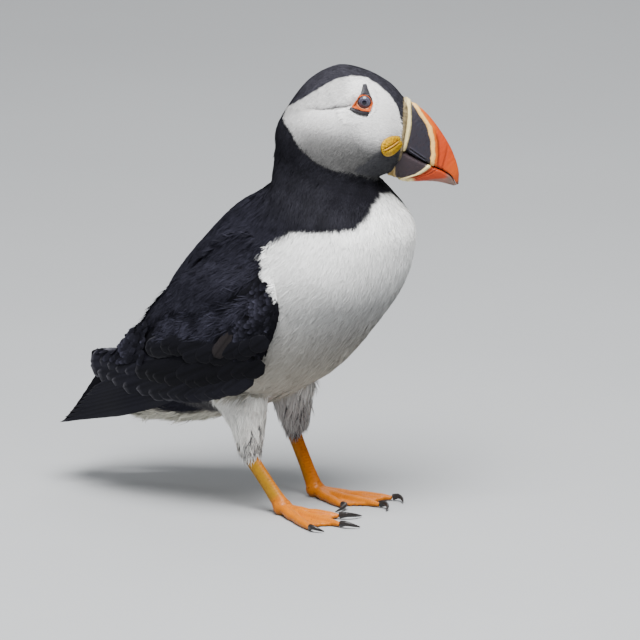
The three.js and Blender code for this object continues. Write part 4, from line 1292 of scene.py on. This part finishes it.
def primaries():
    """The long folded feathers at the wing's rear, from the longest inward."""
    out = []
    for i, k in enumerate(np.linspace(0, 1, 9)):
        tip = between((-136.4, 30.4), (-114.5, 50.5), k) + 1.2 * math.sin(math.pi * k)
        out.append((between((-52, 58.5), (-70, 69), k), tip, 7.6 - 1.0 * k, 0.85, 0.15 + 0.10 * i))
    return out


def tertials(gen):
    """The feathers that lie over the secondaries' rear, from front to rear."""
    out = []
    for i, k in enumerate(np.linspace(0, 1, 5)):
        tip = between((-92, 62), (-117.2, 63.2), k) + gen.normal(0, 0.4, 2)
        out.append((between((-72, 71), (-90, 68.5), k), tip, between(12.5, 10.5, k), 0.1, 1.1 + 0.10 * i))
    return out


def wing_row(count, tips, lengths, widths, lift, step, sway, gen):
    """Specs of a row whose tips follow a curve of (x, z) points from front to rear."""
    out = []
    for i, tip in enumerate(catmull(tips, np.linspace(0, 1, count))):
        k = i / (count - 1)
        tip = tip + gen.normal(0, sway, 2)
        drop = math.radians(37 - 24 * k)  # the feathers slope more at the wrist than at the rear
        root = tip + np.array([math.cos(drop), math.sin(drop)]) * between(*lengths, k)
        out.append((root, tip, between(*widths, k), 0.1, lift + step * i))
    return out


# How many feathers, the curve of their tips, their lengths and widths from front to rear, lift, step, sway.
SECONDARY_TIPS = [(-31, 63.0), (-46, 57.0), (-62, 54.6), (-78, 54.6), (-100, 56.0), (-117.0, 60.0)]
SECONDARIES = (16, SECONDARY_TIPS, (15, 42), (11.5, 13.5), 0.7, 0.02, 0.5)
GREATER = (11, [(-24, 69), (-44, 64.5), (-64, 62.5), (-84, 64)], (13, 29), (10.0, 11.5), 1.2, 0.03, 0.9)
MEDIAN = (13, [(-17, 81), (-36, 77), (-58, 76), (-80, 77)], (10, 22), (8.5, 9.5), 1.5, 0.02, 1.2)
ALULA = [((-22, 96.5), (-36, 77.5), 6.8, 0.0, 2.2)]
ALULA_TINT = np.array([0.0165, 0.0140, 0.0145])


def make_wing(word, side):
    gen = np.random.default_rng(60 + (side > 0))
    # The feathers, how black they are, how pale their fringe is and its share of the width.
    rows = {
        "primaries": (primaries(), 1.1, 0.25, 0.12),
        "secondaries": (wing_row(*SECONDARIES, gen), 1.1, 1.0, 0.09),
        "tertials": (tertials(gen), 1.3, 1.0, 0.09),
        "greater_coverts": (wing_row(*GREATER, gen), 0.5, 0.55, 0.09),
        "median_coverts": (wing_row(*MEDIAN, gen), 0.55, 0.45, 0.09),
    }
    for seed, (name, (specs, black, fringe, share)) in enumerate(rows.items(), 61):
        feathers(f"{name}_{word}", specs, side, FLIGHT_BLACK * black, FRINGE * fringe, share, seed)
    feathers("alula_" + word, ALULA, side, ALULA_TINT, FRINGE * 0.3, 0.5, 66, root_share=-0.4)
    grow_wing_plumes(word, side, gen)


# ------------------------------------------------------------------ the wings' small plumage
WING_PLUMES = {
    # part of the wing: spacing, length, width by length, lie in x and z, tone (above 1 a painted highlight),
    # shape, rise, painted root shade and tip highlight, their run
    "scapular": (1.05, 6.5, 0.11, (-0.80, -0.60), 1.0, "blade", 0.14, (0.6, 1.35), (0.0, 0.6)),
    "ruffled": (0.95, 7.5, 0.085, (-0.93, -0.37), 1.9, "blade", 0.20, (0.30, 1.9), (0.1, 0.8)),
    "lesser": (1.9, 5.5, 0.58, (-0.86, -0.50), 0.9, "vane", 0.10, (0.6, 1.7), (0.4, 1.0)),
    "wrist": (1.5, 4.4, 0.62, (-0.84, -0.54), 1.2, "vane", 0.12, (0.50, 2.2), (0.35, 1.0)),
    "rear": (1.9, 6.5, 0.55, (-0.93, -0.36), 1.3, "vane", 0.06, (0.60, 2.2), (0.5, 1.0)),
    "shoulder": (0.62, 4.4, 0.085, (-0.45, -0.89), 1.0, "blade", 0.14, (0.92, 1.0), (0.0, 0.6)),
}
WRIST_Z = [56, 60, 66, 72, 80, 99, 113, 120]  # the wing's front edge
WRIST_X = [-56, -42, -31, -24, -16, -8, -9, -12]


def on_part(name, p, out):
    """Which points of the core are on a part of the small plumage; out is how far each faces outward."""
    x, z = p[:, 0], p[:, 2]
    above = z - scapular_edge(x) + 1.2 * noise(p, 11, 67)
    front = np.interp(z, WRIST_Z, WRIST_X)
    breast = x > shoulder_line(z) + 1.2 * noise(p, 3, 69)
    breast &= z < shoulder_top(x) + 1.2 * noise(p, 3, 70)
    wrist = (x > front - 13) & (above < -1) & (z < 116) & ~breast
    rear = (x < -78) & (x > -109) & (z > np.interp(x, [-109, -84], [66, 69]))
    return {
        "shoulder": breast & (z > 105),
        "rear": rear & (out > -0.9) & (above < 2),
        "scapular": (out > -0.6) & (above > 0) & (x > -110) & ~breast,
        "ruffled": (out > 0.1) & (above < 1) & (above > -12) & (x > -70) & (x < front - 8),
        "lesser": (out > 0.1) & (above < -9) & (z > 80 + 0.04 * x) & (x > -68) & ~wrist,
        "wrist": wrist & (out > -0.4),
    }[name]


def wing_spots(name, word, side, spacing, size, way, tone, gen):
    """Spots of one part of the wing, with their lie, colour and size."""
    core = cores[word]
    co, tris = co_of(core), tris_of(core)
    p, t = spread(co, tris, spacing, gen)
    n = unit(normals_of(core)[tris[t]].mean(1))
    n[:, 0] = np.minimum(n[:, 0], 0.05)
    n = unit(n)
    spots = Spots(p=p, n=n)[on_part(name, p, n[:, 1] * side)]
    count = len(spots.p)
    spots.size = np.full(count, size)
    spots.lie = plain(unit(np.array([way[0], 0, way[1]])), count)
    if name == "ruffled":
        swirl = 0.75 * noise(spots.p * np.array([1, 0, 1.0]), 7, 71)
        spots.lie = unit(spots.lie + swirl[:, None] * np.array([0, 0, 1]))
    if name == "rear":
        spots.p = spots.p + spots.n * 1.2  # over the tertials' roots
    x, z = spots.p[:, 0], spots.p[:, 2]
    if name == "shoulder":
        spots.lie = place_on_body(spots.p)[2]
        spots.tint = plain(WHITE, count)
        spots.size = size * (0.5 + 0.5 * smooth(x - shoulder_line(z), 0, 5))
    elif name == "scapular":
        spots.tint = mottled(MANTLE, spots.p, 0.25, 14, 5)
    else:
        # lighter and darker in patches; the lighter patches are painted highlight on the black
        spots.tint = mottled(FLIGHT_BLACK * tone, spots.p, 0.7, 8, 68)
    spots.uv = np.stack([(x + 145) / 300 + (0.5 if side > 0 else 0.0), (z - 20) / 125], 1)
    return spots


def grow_wing_plumes(word, side, gen):
    """Scapulars, ruffled and lesser coverts, the wrist's and the rear's scales, and the white shoulder."""
    for name, (spacing, size, wide, way, tone, shape, rise, root_shade_tip_light, run) in WING_PLUMES.items():
        spots = wing_spots(name, word, side, spacing, size, way, tone, gen)
        plumes(f"{name}_feathers_{word}", "flight_feather", spots, wide, gen, shape=shape, fan=0.14,
               rise=rise, radius=42, material=PLUME_WHITE if name == "shoulder" else PLUME, root_shade_tip_light=root_shade_tip_light,
               run=run, curl=0.1 if shape == "blade" else 0.0, vary=0.2)


for word, side in SIDES.items():
    make_wing(word, side)

# ------------------------------------------------------------------ tail
TAIL_ROOT, TAIL_TIP = np.array([-116.0, 0, 45.0]), np.array([-137.0, 0, 33.5])
TAIL_FEATHERS = 12


def make_tail():
    gen = np.random.default_rng(70)
    plates, tints, uvs = [], [], []
    t, w = F_ALONG, F_ACROSS
    for i in range(TAIL_FEATHERS):
        k = i / (TAIL_FEATHERS - 1) * 2 - 1  # -1 and 1 are the outermost feathers
        reach = (1 - 0.20 * k * k) * t
        end = 1 - np.clip((t - 0.72) / 0.28, 0, 1) ** 2
        half = 3.2 * (0.5 + 0.5 * smooth(t, 0, 0.4)) * np.sqrt(np.clip(end, 0, 1)) + 0.02
        x = TAIL_ROOT[0] + (TAIL_TIP[0] - TAIL_ROOT[0]) * reach + 0 * w
        y = 6.0 * k + 7.2 * k * t + half * w
        z = TAIL_ROOT[2] + (TAIL_TIP[2] - TAIL_ROOT[2]) * reach - 3.0 * (k * (0.4 + 0.6 * t)) ** 2
        z = z + (0.9 * (1 - abs(k)) - 0.2) * (0.3 + 0.7 * t) + 0.35 * (1 - w**2) * half / 3.2
        plates.append(plate(np.stack([x, y, z], -1), np.array([0, 0, THIN])))
        tone = FLIGHT_BLACK * gen.uniform(0.75, 1.1)
        fringe = np.maximum(smooth(np.abs(EACH_ACROSS), 0.85, 1), smooth(EACH_ALONG, 0.95, 1))
        tints.append(vane_tint(tone, FRINGE * 0.25, 0.8 * fringe, 0.8))
        u = (i + 0.05 + 0.9 * (EACH_ACROSS + 1) / 2) / TAIL_FEATHERS
        uvs += [np.stack([u, 0.02 + 0.96 * EACH_ALONG], 1)] * 2
    obj = new_mesh("rectrices", *joined(plates), np.vstack(tints), np.vstack(uvs), QUILL)
    dress(obj, "flight_feather", "tail")


make_tail()

# ------------------------------------------------------------------ floor, light and camera
VIEW_AZIMUTH = math.radians(30)  # the camera is to the right of straight sideways, toward the breast
VIEW_ELEVATION = math.radians(12)
VIEW_TARGET = Vector((0.0290, 0.0131, 0.0864))
VIEW_DISTANCE = 8.0
VIEW_SPAN = 0.2977  # width seen at the target
LAMP_TARGET = Vector((0, 0, 0.1))
LAMPS = {
    # way, distance, size, power
    "key": ((0.7, -0.9, 2.2), 1.6, 1.0, 96),
    "fill": ((-1.2, -1.2, 0.9), 1.8, 1.6, 7),
    "back": ((-0.4, 1.4, 1.5), 1.8, 1.4, 16),
}


def placed(name, data, target, away, distance):
    """An object that looks at a target from some way off."""
    obj = bpy.data.objects.new(name, data)
    obj.location = target + away * distance
    obj.rotation_euler = (-away).to_track_quat("-Z", "Y").to_euler()
    bpy.context.scene.collection.objects.link(obj)
    return obj


def plain_floor():
    mat, tree, shader = principled("floor_paper", roughness=0.9, specular=0.2)
    cloud = add_node(tree, "TexNoise", Scale=60, Detail=4)
    ramp = add_node(tree, "ValToRGB")
    ramp.color_ramp.elements[0].color = (0.32, 0.327, 0.334, 1)
    ramp.color_ramp.elements[1].color = (0.35, 0.357, 0.364, 1)
    tree.links.new(cloud.outputs["Fac"], ramp.inputs["Fac"])
    tree.links.new(ramp.outputs["Color"], shader.inputs["Base Color"])
    mesh = bpy.data.meshes.new("floor")
    mesh.from_pydata([(-6, -6, 0), (6, -6, 0), (6, 6, 0), (-6, 6, 0)], [], [(0, 1, 2, 3)])
    mesh.materials.append(mat)
    floor = bpy.data.objects.new("floor", mesh)
    bpy.context.scene.collection.objects.link(floor)


def area_light(name, way, distance, size, power):
    data = bpy.data.lights.new(name, "AREA")
    data.shape = "SQUARE"
    data.size = size
    data.energy = power
    placed(name, data, LAMP_TARGET, Vector(way).normalized(), distance)


def camera():
    data = bpy.data.cameras.new("camera")
    data.sensor_width = 36
    data.lens = 36 * VIEW_DISTANCE / VIEW_SPAN
    data.clip_end = 50
    level = math.cos(VIEW_ELEVATION)
    away = (math.sin(VIEW_AZIMUTH) * level, -math.cos(VIEW_AZIMUTH) * level, math.sin(VIEW_ELEVATION))
    bpy.context.scene.camera = placed("camera", data, VIEW_TARGET, Vector(away), VIEW_DISTANCE)


def world_light():
    world = bpy.data.worlds.new("studio")
    world.use_nodes = True
    sky = world.node_tree.nodes["Background"]
    sky.inputs["Color"].default_value = (0.78, 0.84, 0.92, 1)
    sky.inputs["Strength"].default_value = 0.27
    bpy.context.scene.world = world


plain_floor()
world_light()
for name, lamp in LAMPS.items():
    area_light(name, *lamp)
camera()
